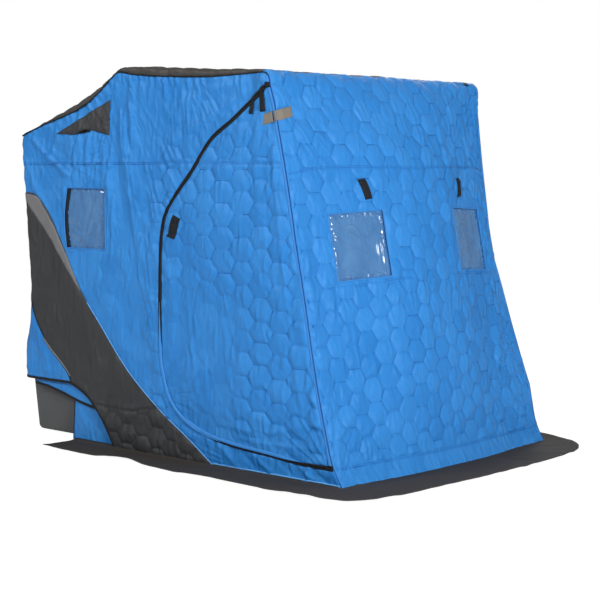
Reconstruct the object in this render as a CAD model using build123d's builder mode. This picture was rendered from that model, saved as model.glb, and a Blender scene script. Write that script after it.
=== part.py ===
from build123d import *
import os
from math import atan2, cos, radians, tan

# Two-person flip-over ice fishing hut. An insulated cloth cover hangs on three telescoping bows,
# which pivot on the ends of a moulded sled.
# Millimetres. X runs across the hut, +Y from the windowed front wall to the sled, +Z up.
# The origin is on the ice, in the middle of the hut's footprint with its skirts.

# ---- cover: sizes across the hut
foot_half_width = 813  # outer face of a side wall, at the ice
wall_lean = 15  # a side wall leans in this much up to the height of the front bow
fabric = 10  # quilted cloth, shell and batting together
seam_height = 1440  # level seam that runs round the walls

# ---- cover: side view, (distance behind the front foot, height)
hem_top = (62, 100)  # the front wall flares out to its foot below this
front_top = (450, 1863)
peak = (1480, 1921)
slope_mid = (1851, 1745)  # the rear slope sags between the two bows
rear_top = (2262, 1600)
rear_waist = (2208, 960)  # the rear wall is drawn in between its bow and the sled
rear_rim = (2312, 430)  # and hangs straight down over the sled's rim
rear_foot = (2312, 306)
roof_wrap = 40  # how far the front wall's cloth runs back over the front bow
roof_seam_mid = (1000, 1860)  # side seams of the black roof cloth, lowest between the bows
roof_seam_peak = (1480, 1893)
slope_seam_mid = (1720, 1757)

# ---- side wall: lower edge of the outer cloth, from the sled to the ice
flap_height = 303
flap_corner = 1870
flap_bend = (1690, 205)
flap_foot = 1527

# ---- side wall: black panel between two curved seams
panel_front_seam = ((2340, 1302), (2130, 1283), (1990, 1128), (1799, 807), (1428, 410), (811, 0))
panel_rear_seam = ((2340, 960), (2178, 700), (2020, 460), (1872, 300))

# ---- side wall: inner cloth, which closes the corner below the flap and reaches the ice
gusset_fabric = 6
gusset_inset = 4  # gusset to the corner of the flap
gusset_rise = 216
gusset_tip = (2180, 284)
gusset_lap = 60

# ---- side door: corners of its zipper line, and how far each corner is rounded
door_low = 92
door_back = 1188
door_elbow = 1172
door_shoulder = (850, 1546)
door_high = (430, 1815)
door_radii = (420, 170, 500)
zipper_inset = 8.5  # door cloth to zipper line
zipper_half = 2.5  # zipper teeth to zipper line
wall_inset = 3  # wall cloth to zipper line
hinge_gap = 6  # front wall to door cloth
sill_height = 300  # the wall below and behind the door is parted here

# ---- windows: clear film, sewn behind the cloth
film = 2
window_seam = 12
front_window = 310
front_window_x = 436
front_window_z = 1076
side_window = (305, 312)
side_window_at = (1747, 1168)

# ---- vent hood on the side wall
vent_corners = ((1955, 1604), (1562, 1776), (1575, 1594))
vent_depth = 16
vent_taper = 35

# ---- skirt that lies on the ice
skirt_side = 222
skirt_front = 270
skirt_inset = 6  # end of a side skirt to the end of its gusset
skirt_thickness = 4
skirt_corner = 190

# ---- sled
sled_front = 1340
sled_slack = 2  # sled rim to the cover's rear wall
sled_clearance = 17  # sled rim to a side gusset
sled_height = 400
sled_wall = 7
rim_width = 12  # outside the wall
rim_thickness = 8
rim_corner = 80
draft = 5  # degrees
bottom_radius = 30
inside_bevel = 24  # along the inside of the bottom
runner_height = 10
runner_width = 46
runner_end = 60
runner_count = 4

# ---- bows
bow_clearance = 5.5  # bow elbow to a side wall's cloth
tube = 25
tube_wall = 1.6
sleeve = 29
sleeve_reach = 0.55  # share of the arm that the sleeve covers
sleeve_lap = 180  # how far the upper tube runs down inside
elbow = 29
elbow_arm = 80
elbow_socket = 30
elbow_radius = 34
bow_pivots = {"front": (1470, 440), "mid": (1560, 455), "rear": (1650, 440)}
bow_tops = {"front": (484, 1830), "mid": (1476, 1878), "rear": (2220, 1568)}
pivot_radius = 5
arm_below_pivot = 20
bracket_plate = 4
bracket_fit = 1

# ---- what follows from the sizes
front_foot = -(rear_foot[0] - skirt_front) / 2
side_view = Plane(origin=(0, front_foot, 0), x_dir=(0, 1, 0), z_dir=(1, 0, 0))
front_view = Plane(origin=(0, 0, 0), x_dir=(1, 0, 0), z_dir=(0, -1, 0))
reach = 4000
lean_in = wall_lean / front_top[1]
bow_half_width = foot_half_width - wall_lean - fabric - bow_clearance - elbow / 2  # middle of a side arm
sled_half_length = foot_half_width - fabric - gusset_fabric - sled_clearance
gusset_rear = flap_corner - gusset_inset
front_slope = (front_top[0] - hem_top[0]) / (front_top[1] - hem_top[1])
front_lean = atan2(front_top[0] - hem_top[0], front_top[1] - hem_top[1])


def wall_face(height):
    # Distance of a side wall's outer face from the middle.
    return foot_half_width - lean_in * height


def front_face(height):
    # Distance of the front wall's outer face behind the foot.
    return hem_top[0] + (height - hem_top[1]) * front_slope


def slab(outer, inner):
    # Endless leaning wall on the left, between two depths behind the side wall's outer face.
    with BuildPart() as wall:
        with BuildSketch(front_view):
            Polygon(
                (-wall_face(-reach) + outer, -reach),
                (-wall_face(-reach) + inner, -reach),
                (-wall_face(reach) + inner, reach),
                (-wall_face(reach) + outer, reach),
                align=None,
            )
        extrude(amount=reach, both=True)
    return wall.part


def left_wall(area, outer=0.0, inner=fabric):
    # Piece of the left side wall with the outline of a side-view sketch.
    with BuildPart() as piece:
        with BuildSketch(side_view):
            add(area.sketch_local)
        extrude(amount=-reach)
        add(slab(outer, inner), mode=Mode.INTERSECT)
    return piece.part


def write(part, name):
    part.label = name
    export_step(part, f"parts/{name}.step")


def write_sides(part, name):
    # The left piece and its mirror image.
    write(part, f"left_{name}")
    write(mirror(part, about=Plane.YZ), f"right_{name}")


os.makedirs("parts", exist_ok=True)

# ---------------------------------------------------------------- side view of the cover
with BuildSketch(side_view) as band:  # front wall, roof and rear wall in section
    with BuildLine():
        Polyline((0, 0), hem_top, front_top, peak)
        ThreePointArc(peak, slope_mid, rear_top)
        ThreePointArc(rear_top, rear_waist, rear_rim)
        Line(rear_rim, rear_foot)
        offset(amount=fabric, side=Side.RIGHT)
    make_face()

with BuildSketch(side_view) as side:  # what the band encloses, down to the ice
    with BuildLine():
        Polyline((0, 0), hem_top, front_top, peak)
        ThreePointArc(peak, slope_mid, rear_top)
        ThreePointArc(rear_top, rear_waist, rear_rim)
        Polyline(rear_rim, (rear_rim[0], 0), (0, 0))
    make_face()
    add(band.sketch_local, mode=Mode.SUBTRACT)

with BuildSketch(side_view) as flap_cut:  # open corner below the outer cloth
    with BuildLine():
        Line((reach, flap_height), (flap_corner, flap_height))
        ThreePointArc((flap_corner, flap_height), flap_bend, (flap_foot, 0))
        Polyline((flap_foot, 0), (flap_foot, -reach), (reach, -reach), (reach, flap_height))
    make_face()

with BuildSketch(side_view) as below_front_seam:
    with BuildLine():
        Spline(*panel_front_seam)
        start, end = panel_front_seam[0], panel_front_seam[-1]
        Polyline(end, (end[0], -reach), (start[0], -reach), start)
    make_face()

with BuildSketch(side_view) as behind_rear_seam:
    with BuildLine():
        Spline(*panel_rear_seam)
        start, end = panel_rear_seam[0], panel_rear_seam[-1]
        Polyline(end, (end[0], -reach), (start[0], -reach), start)
    make_face()

with BuildSketch(side_view) as above_roof_seam:
    with BuildLine():
        ThreePointArc((front_top[0], front_top[1] - 2 * fabric), roof_seam_mid, roof_seam_peak)
        ThreePointArc(roof_seam_peak, slope_seam_mid, (rear_top[0], rear_top[1] - fabric))
        Polyline(
            (rear_top[0], rear_top[1] - fabric),
            (rear_top[0], reach),
            (front_top[0], reach),
            (front_top[0], front_top[1] - 2 * fabric),
        )
    make_face()

with BuildSketch(side_view) as zipper_line:  # open to the front, where the door is hinged
    with BuildLine():
        FilletPolyline(
            (-fabric, door_low),
            (door_back, door_low),
            (door_back, door_elbow),
            door_shoulder,
            door_high,
            radius=door_radii,
        )
        Polyline(door_high, (-fabric, door_high[1]), (-fabric, door_low))
    make_face()

with BuildSketch(side_view) as behind_hinge:
    with BuildLine():
        back = (fabric + hinge_gap) / cos(front_lean)
        Polyline(
            (front_face(-reach) + back, -reach),
            (front_face(reach) + back, reach),
            (reach, reach),
            (reach, -reach),
            close=True,
        )
    make_face()


def zipper_offset(distance):
    with BuildSketch() as outline:
        add(zipper_line.sketch_local)
        offset(amount=distance)
    return outline.sketch_local


def across(area):
    # The band's cloth over the whole width, between the leaning side faces.
    with BuildPart() as piece:
        with BuildSketch(side_view):
            add(area.sketch_local)
        extrude(amount=reach, both=True)
        with BuildSketch(front_view):
            Polygon(
                (-wall_face(-reach), -reach),
                (wall_face(-reach), -reach),
                (wall_face(reach), reach),
                (-wall_face(reach), reach),
                align=None,
            )
        extrude(amount=reach, both=True, mode=Mode.INTERSECT)
    return piece.part


def stretch(area, low=0.0, high=reach, front=-reach, rear=reach):
    # Part of an area between two heights and two distances behind the foot.
    with BuildSketch(side_view) as cut:
        add(area.sketch_local)
        with Locations(((front + rear) / 2, (low + high) / 2)):
            Rectangle(rear - front, high - low, mode=Mode.INTERSECT)
    return cut


# ---------------------------------------------------------------- front wall
write(across(stretch(band, high=hem_top[1], rear=peak[0])), "front_hem")

front_plane = Plane(
    origin=(0, front_foot + front_face(front_window_z), front_window_z),
    x_dir=(1, 0, 0),
    z_dir=(0, -1, front_slope),
)
front_windows = {"left": -front_window_x, "right": front_window_x}

with BuildPart() as front_wall_lower:
    add(across(stretch(band, low=hem_top[1], high=seam_height, rear=peak[0])))
    with BuildSketch(front_plane):
        with Locations(*[(x, 0) for x in front_windows.values()]):
            Rectangle(front_window, front_window)
    extrude(amount=2 * fabric, both=True, mode=Mode.SUBTRACT)
write(front_wall_lower.part, "front_wall_lower")

write(across(stretch(band, low=seam_height, rear=front_top[0] + roof_wrap)), "front_wall_upper")

for name, x in front_windows.items():
    with BuildPart() as front_film:
        with BuildSketch(front_plane.offset(-fabric)):
            with Locations((x, 0)):
                Rectangle(front_window + 2 * window_seam, front_window + 2 * window_seam)
        extrude(amount=-film)
    write(front_film.part, f"front_{name}_window")

# ---------------------------------------------------------------- roof and rear wall
with BuildSketch(side_view) as roof_lips:
    add(side.sketch_local)
    add(above_roof_seam.sketch_local, mode=Mode.INTERSECT)

roof_stretches = {
    "roof_panel": (front_top[0] + roof_wrap, peak[0]),
    "rear_slope": (peak[0], rear_top[0]),
}
for name, (front, rear) in roof_stretches.items():
    lip = left_wall(stretch(roof_lips, front=front, rear=rear))
    with BuildPart() as roof_cloth:
        add(across(stretch(band, low=rear_top[1] - fabric, front=front, rear=rear)))
        add(lip)
        add(mirror(lip, about=Plane.YZ))
    write(roof_cloth.part, name)

write(across(stretch(band, high=rear_top[1] - fabric, front=peak[0])), "rear_wall")

# ---------------------------------------------------------------- side walls
with BuildSketch(side_view) as blue_front:  # in front of the black panel, round the doorway
    add(side.sketch_local)
    add(below_front_seam.sketch_local, mode=Mode.SUBTRACT)
    add(zipper_offset(wall_inset), mode=Mode.SUBTRACT)
    add(roof_lips.sketch_local, mode=Mode.SUBTRACT)

write_sides(left_wall(stretch(blue_front, low=seam_height)), "upper_panel")
write_sides(left_wall(stretch(blue_front, high=sill_height)), "door_sill")

with BuildSketch(side_view) as window_panel_area:
    add(stretch(blue_front, low=sill_height, high=seam_height).sketch_local)
    with Locations(side_window_at):
        Rectangle(*side_window, mode=Mode.SUBTRACT)
write_sides(left_wall(window_panel_area), "window_panel")

with BuildSketch(side_view) as side_film:
    with Locations(side_window_at):
        Rectangle(side_window[0] + 2 * window_seam, side_window[1] + 2 * window_seam)
write_sides(left_wall(side_film, outer=fabric, inner=fabric + film), "side_window")

with BuildSketch(side_view) as black_area:
    add(side.sketch_local)
    add(below_front_seam.sketch_local, mode=Mode.INTERSECT)
    add(behind_rear_seam.sketch_local, mode=Mode.SUBTRACT)
    add(flap_cut.sketch_local, mode=Mode.SUBTRACT)
    add(zipper_offset(wall_inset), mode=Mode.SUBTRACT)
write_sides(left_wall(black_area), "black_panel")

with BuildSketch(side_view) as rear_panel_area:
    add(side.sketch_local)
    add(behind_rear_seam.sketch_local, mode=Mode.INTERSECT)
    add(flap_cut.sketch_local, mode=Mode.SUBTRACT)
write_sides(left_wall(rear_panel_area), "rear_panel")

with BuildSketch(side_view) as gusset_area:
    with BuildLine():
        Polyline((flap_foot - gusset_lap, 0), (gusset_rear, 0), (gusset_rear, gusset_rise))
        Polyline((gusset_rear, gusset_rise), gusset_tip, (gusset_tip[0], flap_height + gusset_lap))
        Line((gusset_tip[0], flap_height + gusset_lap), (flap_corner, flap_height + gusset_lap))
        ThreePointArc(
            (flap_corner, flap_height + gusset_lap),
            (flap_bend[0] - gusset_lap / 2, flap_bend[1] + gusset_lap / 2),
            (flap_foot - gusset_lap, 0),
        )
    make_face()
write_sides(left_wall(gusset_area, outer=fabric, inner=fabric + gusset_fabric), "sled_gusset")

# ---------------------------------------------------------------- side doors
with BuildSketch(side_view) as door_area:
    add(zipper_offset(-zipper_inset))
    add(behind_hinge.sketch_local, mode=Mode.INTERSECT)
write_sides(left_wall(door_area), "door")

with BuildSketch(side_view) as zipper_area:
    add(zipper_offset(-zipper_half))
    add(zipper_offset(-zipper_inset), mode=Mode.SUBTRACT)
    add(behind_hinge.sketch_local, mode=Mode.INTERSECT)
write_sides(left_wall(zipper_area), "door_zipper")

# ---------------------------------------------------------------- vent hoods
vent_plane = Plane(
    origin=(-wall_face(vent_corners[0][1]), front_foot, vent_corners[0][1]),
    x_dir=(0, -1, 0),
    z_dir=(-1, 0, lean_in),
)
with BuildPart() as vent_hood:
    with BuildSketch(vent_plane):
        corners = [(-y, z - vent_corners[0][1]) for y, z in reversed(vent_corners)]
        Polygon(*corners, align=None)
    extrude(amount=vent_depth, taper=vent_taper)
write_sides(vent_hood.part, "vent_hood")

# ---------------------------------------------------------------- ground skirt
with BuildPart() as front_skirt:
    with BuildSketch(Plane.XY):
        with Locations((0, front_foot - skirt_front / 2)):
            Rectangle(2 * (foot_half_width + skirt_side), skirt_front)
    extrude(amount=skirt_thickness)
    fillet(front_skirt.edges().filter_by(Axis.Z).group_by(Axis.Y)[0], radius=skirt_corner)
write(front_skirt.part, "front_skirt")

with BuildPart() as side_skirt:
    with BuildSketch(Plane.XY):
        skirt_length = gusset_rear - skirt_inset
        with Locations((-foot_half_width - skirt_side / 2, front_foot + skirt_length / 2)):
            Rectangle(skirt_side, skirt_length)
    extrude(amount=skirt_thickness)
write_sides(side_skirt.part, "skirt")

# ---------------------------------------------------------------- sled
sled_rear = rear_foot[0] - fabric - sled_slack
sled_middle = front_foot + (sled_front + sled_rear) / 2
wall_length = 2 * (sled_half_length - rim_width)
wall_width = sled_rear - sled_front - 2 * rim_width
hull_height = sled_height - runner_height
bottom_shrink = 2 * hull_height * tan(radians(draft))


def hull(inset):
    # Drafted tub, inset all round.
    with BuildPart() as body:
        with BuildSketch(Plane.XY.offset(sled_height)):
            with Locations((0, sled_middle)):
                RectangleRounded(
                    wall_length - 2 * inset,
                    wall_width - 2 * inset,
                    rim_corner - rim_width - inset,
                )
        extrude(amount=inset - hull_height, taper=draft)
    return body.part


with BuildPart() as sled_inside:
    add(hull(sled_wall))
    chamfer(sled_inside.faces().sort_by(Axis.Z)[0].edges(), length=inside_bevel)

with BuildPart() as sled_tub:
    add(hull(0))
    fillet(sled_tub.faces().sort_by(Axis.Z)[0].edges(), radius=bottom_radius)
    with BuildSketch(Plane.XY.offset(sled_height)):
        with Locations((0, sled_middle)):
            RectangleRounded(wall_length + 2 * rim_width, wall_width + 2 * rim_width, rim_corner)
    extrude(amount=-rim_thickness)
    with BuildSketch(Plane.XY):
        with Locations((0, sled_middle)):
            with GridLocations(0, wall_width / runner_count, 1, runner_count):
                SlotOverall(wall_length - bottom_shrink - 2 * runner_end, runner_width)
    extrude(amount=runner_height)
    add(sled_inside.part, mode=Mode.SUBTRACT)
write(sled_tub.part, "sled_tub")

# ---------------------------------------------------------------- bow pivots
with BuildPart() as pivot_bracket:
    cheek = sleeve / 2 + bracket_fit
    with BuildSketch(side_view.offset(-bow_half_width - cheek - bracket_plate)):
        front_pin, mid_pin, rear_pin = bow_pivots["front"], bow_pivots["mid"], bow_pivots["rear"]
        Polygon(
            (front_pin[0] - sleeve, sled_height),
            (rear_pin[0] + sleeve, sled_height),
            (rear_pin[0] + sleeve, rear_pin[1] + sleeve / 2),
            (mid_pin[0], mid_pin[1] + sleeve),
            (front_pin[0] - sleeve, front_pin[1] + sleeve / 2),
            align=None,
        )
    extrude(amount=2 * (cheek + bracket_plate))
    with BuildSketch(side_view.offset(-bow_half_width - cheek)):
        with Locations((mid_pin[0], sled_height + bracket_plate + reach / 2)):
            Rectangle(reach, reach)
    extrude(amount=2 * cheek, mode=Mode.SUBTRACT)
    with BuildSketch(side_view.offset(-bow_half_width - cheek)):
        with Locations(*bow_pivots.values()):
            Circle(pivot_radius)
    extrude(amount=2 * cheek)
write_sides(pivot_bracket.part, "pivot_bracket")

# ---------------------------------------------------------------- bows
elbows = []
for name, pivot in bow_pivots.items():
    foot = Vector(-bow_half_width, front_foot + pivot[0], pivot[1])
    head = Vector(-bow_half_width, front_foot + bow_tops[name][0], bow_tops[name][1])
    arm = head - foot
    along = Plane(origin=foot, x_dir=(1, 0, 0), z_dir=arm)
    across_bow = Plane(origin=head, x_dir=along.y_dir, z_dir=(1, 0, 0))
    sleeve_length = arm.length * sleeve_reach
    tube_start = sleeve_length - sleeve_lap
    tube_length = arm.length - elbow_arm + elbow_socket - tube_start

    with BuildPart() as bow_sleeves:
        with BuildSketch(along.offset(-arm_below_pivot)):
            Rectangle(sleeve, sleeve)
            Rectangle(tube, tube, mode=Mode.SUBTRACT)
        extrude(amount=sleeve_length + arm_below_pivot)
        with BuildSketch(Plane(origin=foot, x_dir=(0, 1, 0), z_dir=(1, 0, 0))):
            Circle(pivot_radius)
        extrude(amount=sleeve, both=True, mode=Mode.SUBTRACT)
        mirror(about=Plane.YZ)
    write(bow_sleeves.part, f"{name}_bow_sleeves")

    with BuildPart() as bow_tubes:
        with BuildSketch(along.offset(tube_start)):
            Rectangle(tube, tube)
            Rectangle(tube - 2 * tube_wall, tube - 2 * tube_wall, mode=Mode.SUBTRACT)
        extrude(amount=tube_length)
        mirror(about=Plane.YZ)
    write(bow_tubes.part, f"{name}_bow_tubes")

    with BuildPart() as bow_crossbar:
        with BuildSketch(across_bow.offset(elbow_arm - elbow_socket)):
            Rectangle(tube, tube)
            Rectangle(tube - 2 * tube_wall, tube - 2 * tube_wall, mode=Mode.SUBTRACT)
        extrude(amount=2 * (bow_half_width - elbow_arm + elbow_socket))
    write(bow_crossbar.part, f"{name}_bow_crossbar")

    with BuildPart() as bow_elbow:
        with BuildLine():
            FilletPolyline(
                head - arm.normalized() * elbow_arm,
                head,
                head + Vector(elbow_arm, 0, 0),
                radius=elbow_radius,
            )
        with BuildSketch(along.offset(arm.length - elbow_arm)):
            Rectangle(elbow, elbow)
            Rectangle(tube, tube, mode=Mode.SUBTRACT)
        sweep()
        mirror(about=Plane.YZ)
    elbows.append(bow_elbow.part)

with BuildPart() as bow_elbows:
    add(elbows)
write(bow_elbows.part, "bow_elbows")
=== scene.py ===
import bpy, math
import numpy as np
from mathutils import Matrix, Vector, geometry, kdtree


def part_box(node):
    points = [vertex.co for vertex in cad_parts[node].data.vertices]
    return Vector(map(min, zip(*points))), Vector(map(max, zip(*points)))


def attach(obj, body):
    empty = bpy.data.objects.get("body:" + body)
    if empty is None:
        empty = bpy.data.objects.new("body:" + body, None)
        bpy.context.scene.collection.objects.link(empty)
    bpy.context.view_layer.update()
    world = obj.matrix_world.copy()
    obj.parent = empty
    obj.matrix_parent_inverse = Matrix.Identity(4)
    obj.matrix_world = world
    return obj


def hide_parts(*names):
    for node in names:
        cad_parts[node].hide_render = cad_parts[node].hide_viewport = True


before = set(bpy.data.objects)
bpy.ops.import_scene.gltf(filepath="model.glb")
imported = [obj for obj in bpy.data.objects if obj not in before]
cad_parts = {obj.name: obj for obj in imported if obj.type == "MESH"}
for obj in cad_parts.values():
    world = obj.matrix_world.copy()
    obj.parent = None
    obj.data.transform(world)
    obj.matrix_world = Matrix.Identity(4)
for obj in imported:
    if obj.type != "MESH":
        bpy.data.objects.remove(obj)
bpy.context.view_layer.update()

bpy.ops.object.select_all(action="DESELECT")
scene = bpy.context.scene
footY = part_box("front_hem")[0].y  # the front wall's foot; depths are measured behind it, in metres
print("frame loaded")

# the cover's shape: (depth, height) points of its middle section, from the ice in front to the ice behind
shape = {
    "front": [(0, 0), (0.058, 0.096), (0.101, 0.24), (0.151, 0.437), (0.19, 0.619), (0.232, 0.835),
        (0.281, 1.059), (0.325, 1.287), (0.362, 1.459), (0.404, 1.638), (0.432, 1.777)],
    "frontRoll": [(0.437, 1.82), (0.447, 1.85), (0.47, 1.868), (0.51, 1.874)],
    "roof": [(0.64, 1.881), (0.9, 1.893), (1.25, 1.914), (1.39, 1.922), (1.465, 1.921), (1.51, 1.907)],
    "slope": [(1.545, 1.883), (1.62, 1.84), (1.708, 1.8), (1.851, 1.741), (2.017, 1.679), (2.15, 1.633),
        (2.225, 1.609)],
    "rear": [(2.258, 1.592), (2.268, 1.565), (2.264, 1.5), (2.243, 1.298), (2.228, 1.1), (2.216, 0.95),
        (2.214, 0.85), (2.226, 0.7), (2.262, 0.55), (2.297, 0.45), (2.306, 0.4), (2.307, 0.306)],
    "footHalf": 0.813, "topHalf": 0.798, "topHeight": 1.863,
    "lip": [(0.45, 0.004), (0.51, 0.009), (0.64, 0.02), (0.836, 0.033), (1.04, 0.037), (1.25, 0.038),
        (1.38, 0.034), (1.46, 0.022), (1.51, 0.008), (1.56, 0.006), (1.64, 0.022), (1.73, 0.033),
        (1.83, 0.033), (1.965, 0.019), (2.087, 0.006), (2.2, 0.003), (2.3, 0.003)],
    "rearCorner": [(0.3, 0.11), (0.45, 0.105), (0.75, 0.06), (0.95, 0.035), (1.6, 0.028)],  # height, radius
    "bulge": [(-0.813, 0), (-0.7, 0.008), (-0.591, 0.03), (-0.44, 0.07), (-0.281, 0.108), (-0.1, 0.128),
        (0.08, 0.127), (0.2, 0.115), (0.281, 0.1), (0.369, 0.08), (0.48, 0.052), (0.591, 0.032), (0.7, 0.016),
        (0.813, 0)],
    "bulgeHeight": [(0, 0.35), (0.1, 0.45), (0.5, 0.8), (1.0, 1), (1.5, 1), (1.75, 0.6), (1.86, 0.2),
        (1.92, 0)],
    "farSlack": [(0, 0), (0.29, -0.02), (0.52, 0.007), (0.73, 0.034), (0.94, 0.06), (1.12, 0.06),
        (1.32, 0.05), (1.46, 0.04), (1.66, 0.018), (1.82, 0.008), (1.92, 0)],
}
quilting = {"side": 0.06, "step": 0.0075, "groove": 0.0044, "dome": 0.0058, "cloth": 0.01}  # metres
curveParts = 16  # points between two given ones
liningStep = 0.04  # metres between the points of a panel's hidden face
plainSpots = {"stitch": 0.05, "shade": 0.5}  # distance to a sewn line, and shade, where nothing is quilted
noStitch = 0.03  # a distance at which a sewn line no longer darkens the cloth


def smoothCurve(points):  # curve through the points, passing each one
    p = np.array(points, float)
    p = np.vstack([2 * p[0] - p[1], p, 2 * p[-1] - p[-2]])
    out = []
    for a, b, c, d in zip(p, p[1:], p[2:], p[3:]):
        k = [0.0]
        for e, f in ((a, b), (b, c), (c, d)):
            k.append(k[-1] + max(math.dist(e, f), 1e-9) ** 0.5)
        t = np.linspace(k[1], k[2], curveParts, endpoint=False)[:, None]
        ab = a + (b - a) * (t - k[0]) / (k[1] - k[0])
        bc = b + (c - b) * (t - k[1]) / (k[2] - k[1])
        cd = c + (d - c) * (t - k[2]) / (k[3] - k[2])
        abc = ab + (bc - ab) * (t - k[0]) / (k[2] - k[0])
        bcd = bc + (cd - bc) * (t - k[1]) / (k[3] - k[1])
        out.append(abc + (bcd - abc) * (t - k[1]) / (k[2] - k[1]))
    return np.vstack([*out, p[-2:-1]])


def lengths(path):
    return np.r_[0, np.cumsum(np.linalg.norm(np.diff(path, axis=0), axis=1))]


def evenly(path, step):  # the same line with evenly spaced points
    path = np.array(path, float)
    d = lengths(path)
    t = np.linspace(0, d[-1], max(1, round(d[-1] / step)) + 1)
    return np.column_stack([np.interp(t, d, c) for c in path.T])


def ring(*parts, step):  # closed outline; each part ends where the next begins
    return np.vstack([evenly(p, step)[:-1] for p in parts])


def polygon(corners, step):
    return ring(*zip(corners, [*corners[1:], corners[0]]), step=step)


def block(a, b, c, d):  # a rectangle's corners
    return [(a, b), (c, b), (c, d), (a, d)]


def looped(path):
    return np.vstack([path, path[:1]])


def aside(path, amount):  # the line moved sideways, to its right for a positive amount
    run = np.gradient(path, axis=0)
    run /= np.linalg.norm(run, axis=1)[:, None]
    return path + np.column_stack([run[:, 1], -run[:, 0]]) * amount


def table(key, at):
    x, y = np.array(shape[key]).T
    return np.interp(at, x, y)


def ease(x, low, high):
    t = np.clip((x - low) / (high - low), 0, 1)
    return t * t * (3 - 2 * t)


section = evenly(smoothCurve(shape["front"] + shape["frontRoll"] + shape["roof"] + shape["slope"]
    + shape["rear"]), 0.004)
sectionAt = lengths(section)
sectionRun = np.gradient(section, axis=0)
sectionRun /= np.linalg.norm(sectionRun, axis=1)[:, None]
sectionOut = np.column_stack([-sectionRun[:, 1], sectionRun[:, 0]])  # points away from the inside
rollEnd = np.argmax(section[:, 0] > 0.49)


def sectionWhere(depth=None, height=None, rear=False):  # length at a depth on the roof, or a height on a wall
    top = sectionAt[np.argmax(section[:, 1])]
    if depth is not None:
        keep = (section[:, 1] > 1.63) & (section[:, 0] > 0.46)
        return np.interp(depth, section[keep, 0], sectionAt[keep])
    if rear:
        keep = sectionAt > top
        return np.interp(-np.asarray(height), -section[keep, 1], sectionAt[keep])
    return np.interp(height, section[:rollEnd, 1], sectionAt[:rollEnd])


def halfWidth(height):
    return shape["footHalf"] + (shape["topHalf"] - shape["footHalf"]) * height / shape["topHeight"]


def cornerDepth(height):  # depth of the front corner seam
    return np.interp(height, section[:rollEnd, 1], section[:rollEnd, 0])


tRollEnd = sectionWhere(depth=0.49)
tPeak = sectionWhere(depth=1.53)
tRearTop = sectionWhere(height=1.6, rear=True)
tRearFoot = sectionAt[-1]
tLipStart = sectionWhere(height=1.84)


def sectionPoint(t):  # depth and height at a length along the section
    return np.interp(t, sectionAt, section[:, 0]), np.interp(t, sectionAt, section[:, 1])


def sectionNormal(t):
    return np.interp(t, sectionAt, sectionOut[:, 0]), np.interp(t, sectionAt, sectionOut[:, 1])


def lipAt(t):  # how far the roof's cloth turns down over the shoulder
    return table("lip", sectionPoint(t)[0]) * ease(t, tLipStart,
        tRollEnd) * (1 - ease(t, tRearTop - 0.03, tRearTop))


def shoulderRadius(lip):
    return np.maximum(np.minimum(0.016, lip * 0.6), 1e-6)


def bell(x, width):
    return np.exp(-((x / width) ** 2))


def shellSurface(p):  # (across, length along the section) to a place; its edges turn down over the shoulder
    s, t = p[:, 0], p[:, 1]
    (y, z), (ny, nz) = sectionPoint(t), sectionNormal(t)
    r = shoulderRadius(lipAt(t))
    a = np.abs(s)
    half = halfWidth(z) - r
    turn = np.clip((a - half) / r, 0, math.pi / 2)
    down = np.maximum(a - half - r * math.pi / 2, 0)
    x = np.where(a < half, a, half + r * np.sin(turn))
    depth = r * (1 - np.cos(turn)) + down
    front = 1 - ease(y, 0.45, 0.62)
    b = table("bulge", s) * table("bulgeHeight", z) * front
    sag = 0.012 * np.cos(np.clip(s / 0.8, -1, 1) * math.pi / 2) * ease(t, tRollEnd, tRollEnd + 0.3)
    sag = sag * (1 - 1.6
        * np.sin(np.clip((t - tRollEnd) / (tPeak - tRollEnd), 0, 1) * math.pi)) * (t < tRearTop + 0.1)
    return np.column_stack([np.sign(s) * x, y - ny * depth - b + ny * sag, z - nz * depth + nz * sag])


def shellEdge(t):  # how far out the shell's cloth reaches, measured over its shoulder
    lip = lipAt(t)
    r = shoulderRadius(lip)
    return halfWidth(sectionPoint(t)[1]) - r + r * math.pi / 2 + np.maximum(lip - r, 0)


def rearDepth(height):
    return np.interp(-height, -section[-420:, 1], section[-420:, 0])


def sideSurface(p):  # (depth, height) on the left wall; past the rear corner it runs round onto the rear wall
    u, z = p[:, 0], p[:, 1]
    r = table("rearCorner", z)
    start = rearDepth(z) - r
    turn = np.clip((u - start) / r, 0, math.pi / 2)
    past = np.maximum(u - start - r * math.pi / 2, 0)
    swell = 0.011 * np.sin(np.clip((u - cornerDepth(z)) / 0.85, 0, 1) * math.pi)
    x = halfWidth(z) + swell * np.sin(np.clip(z / 1.8, 0, 1) * math.pi)
    x = x - r * (1 - np.cos(turn)) - past
    y = np.where(u < start, u, start + r * np.sin(turn))
    return np.column_stack([-x, y, z])


def rearSide(height):  # where the side cloth ends on the rear wall
    r = table("rearCorner", height)
    return rearDepth(height) - r + r * math.pi / 2


def settled(places):  # the cover's slack: the bow elbows push out, and the far front corner hangs inward
    p = np.array(places, float)
    x, y, z = p.T
    bump = np.exp(-(((y - 0.47) / 0.075) ** 2 + ((z - 1.825) / 0.07) ** 2)) * ease(np.abs(x), 0.62, 0.78)
    p[:, 0] += np.sign(x) * bump * 0.02
    pull = table("farSlack", z) * ease(x, 0.55, 0.8) * bell(np.maximum(y - cornerDepth(z), 0), 0.3)
    p[:, 1] += pull * 0.75
    p[:, 0] -= pull * 0.5
    p[:, 1] += footY + 0.017 * ease(y, 1.8, 2.15) * ease(z, 0.3, 0.6)
    p[:, 2] = np.maximum(z, 0.0008)  # the ice is flat
    return p


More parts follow.
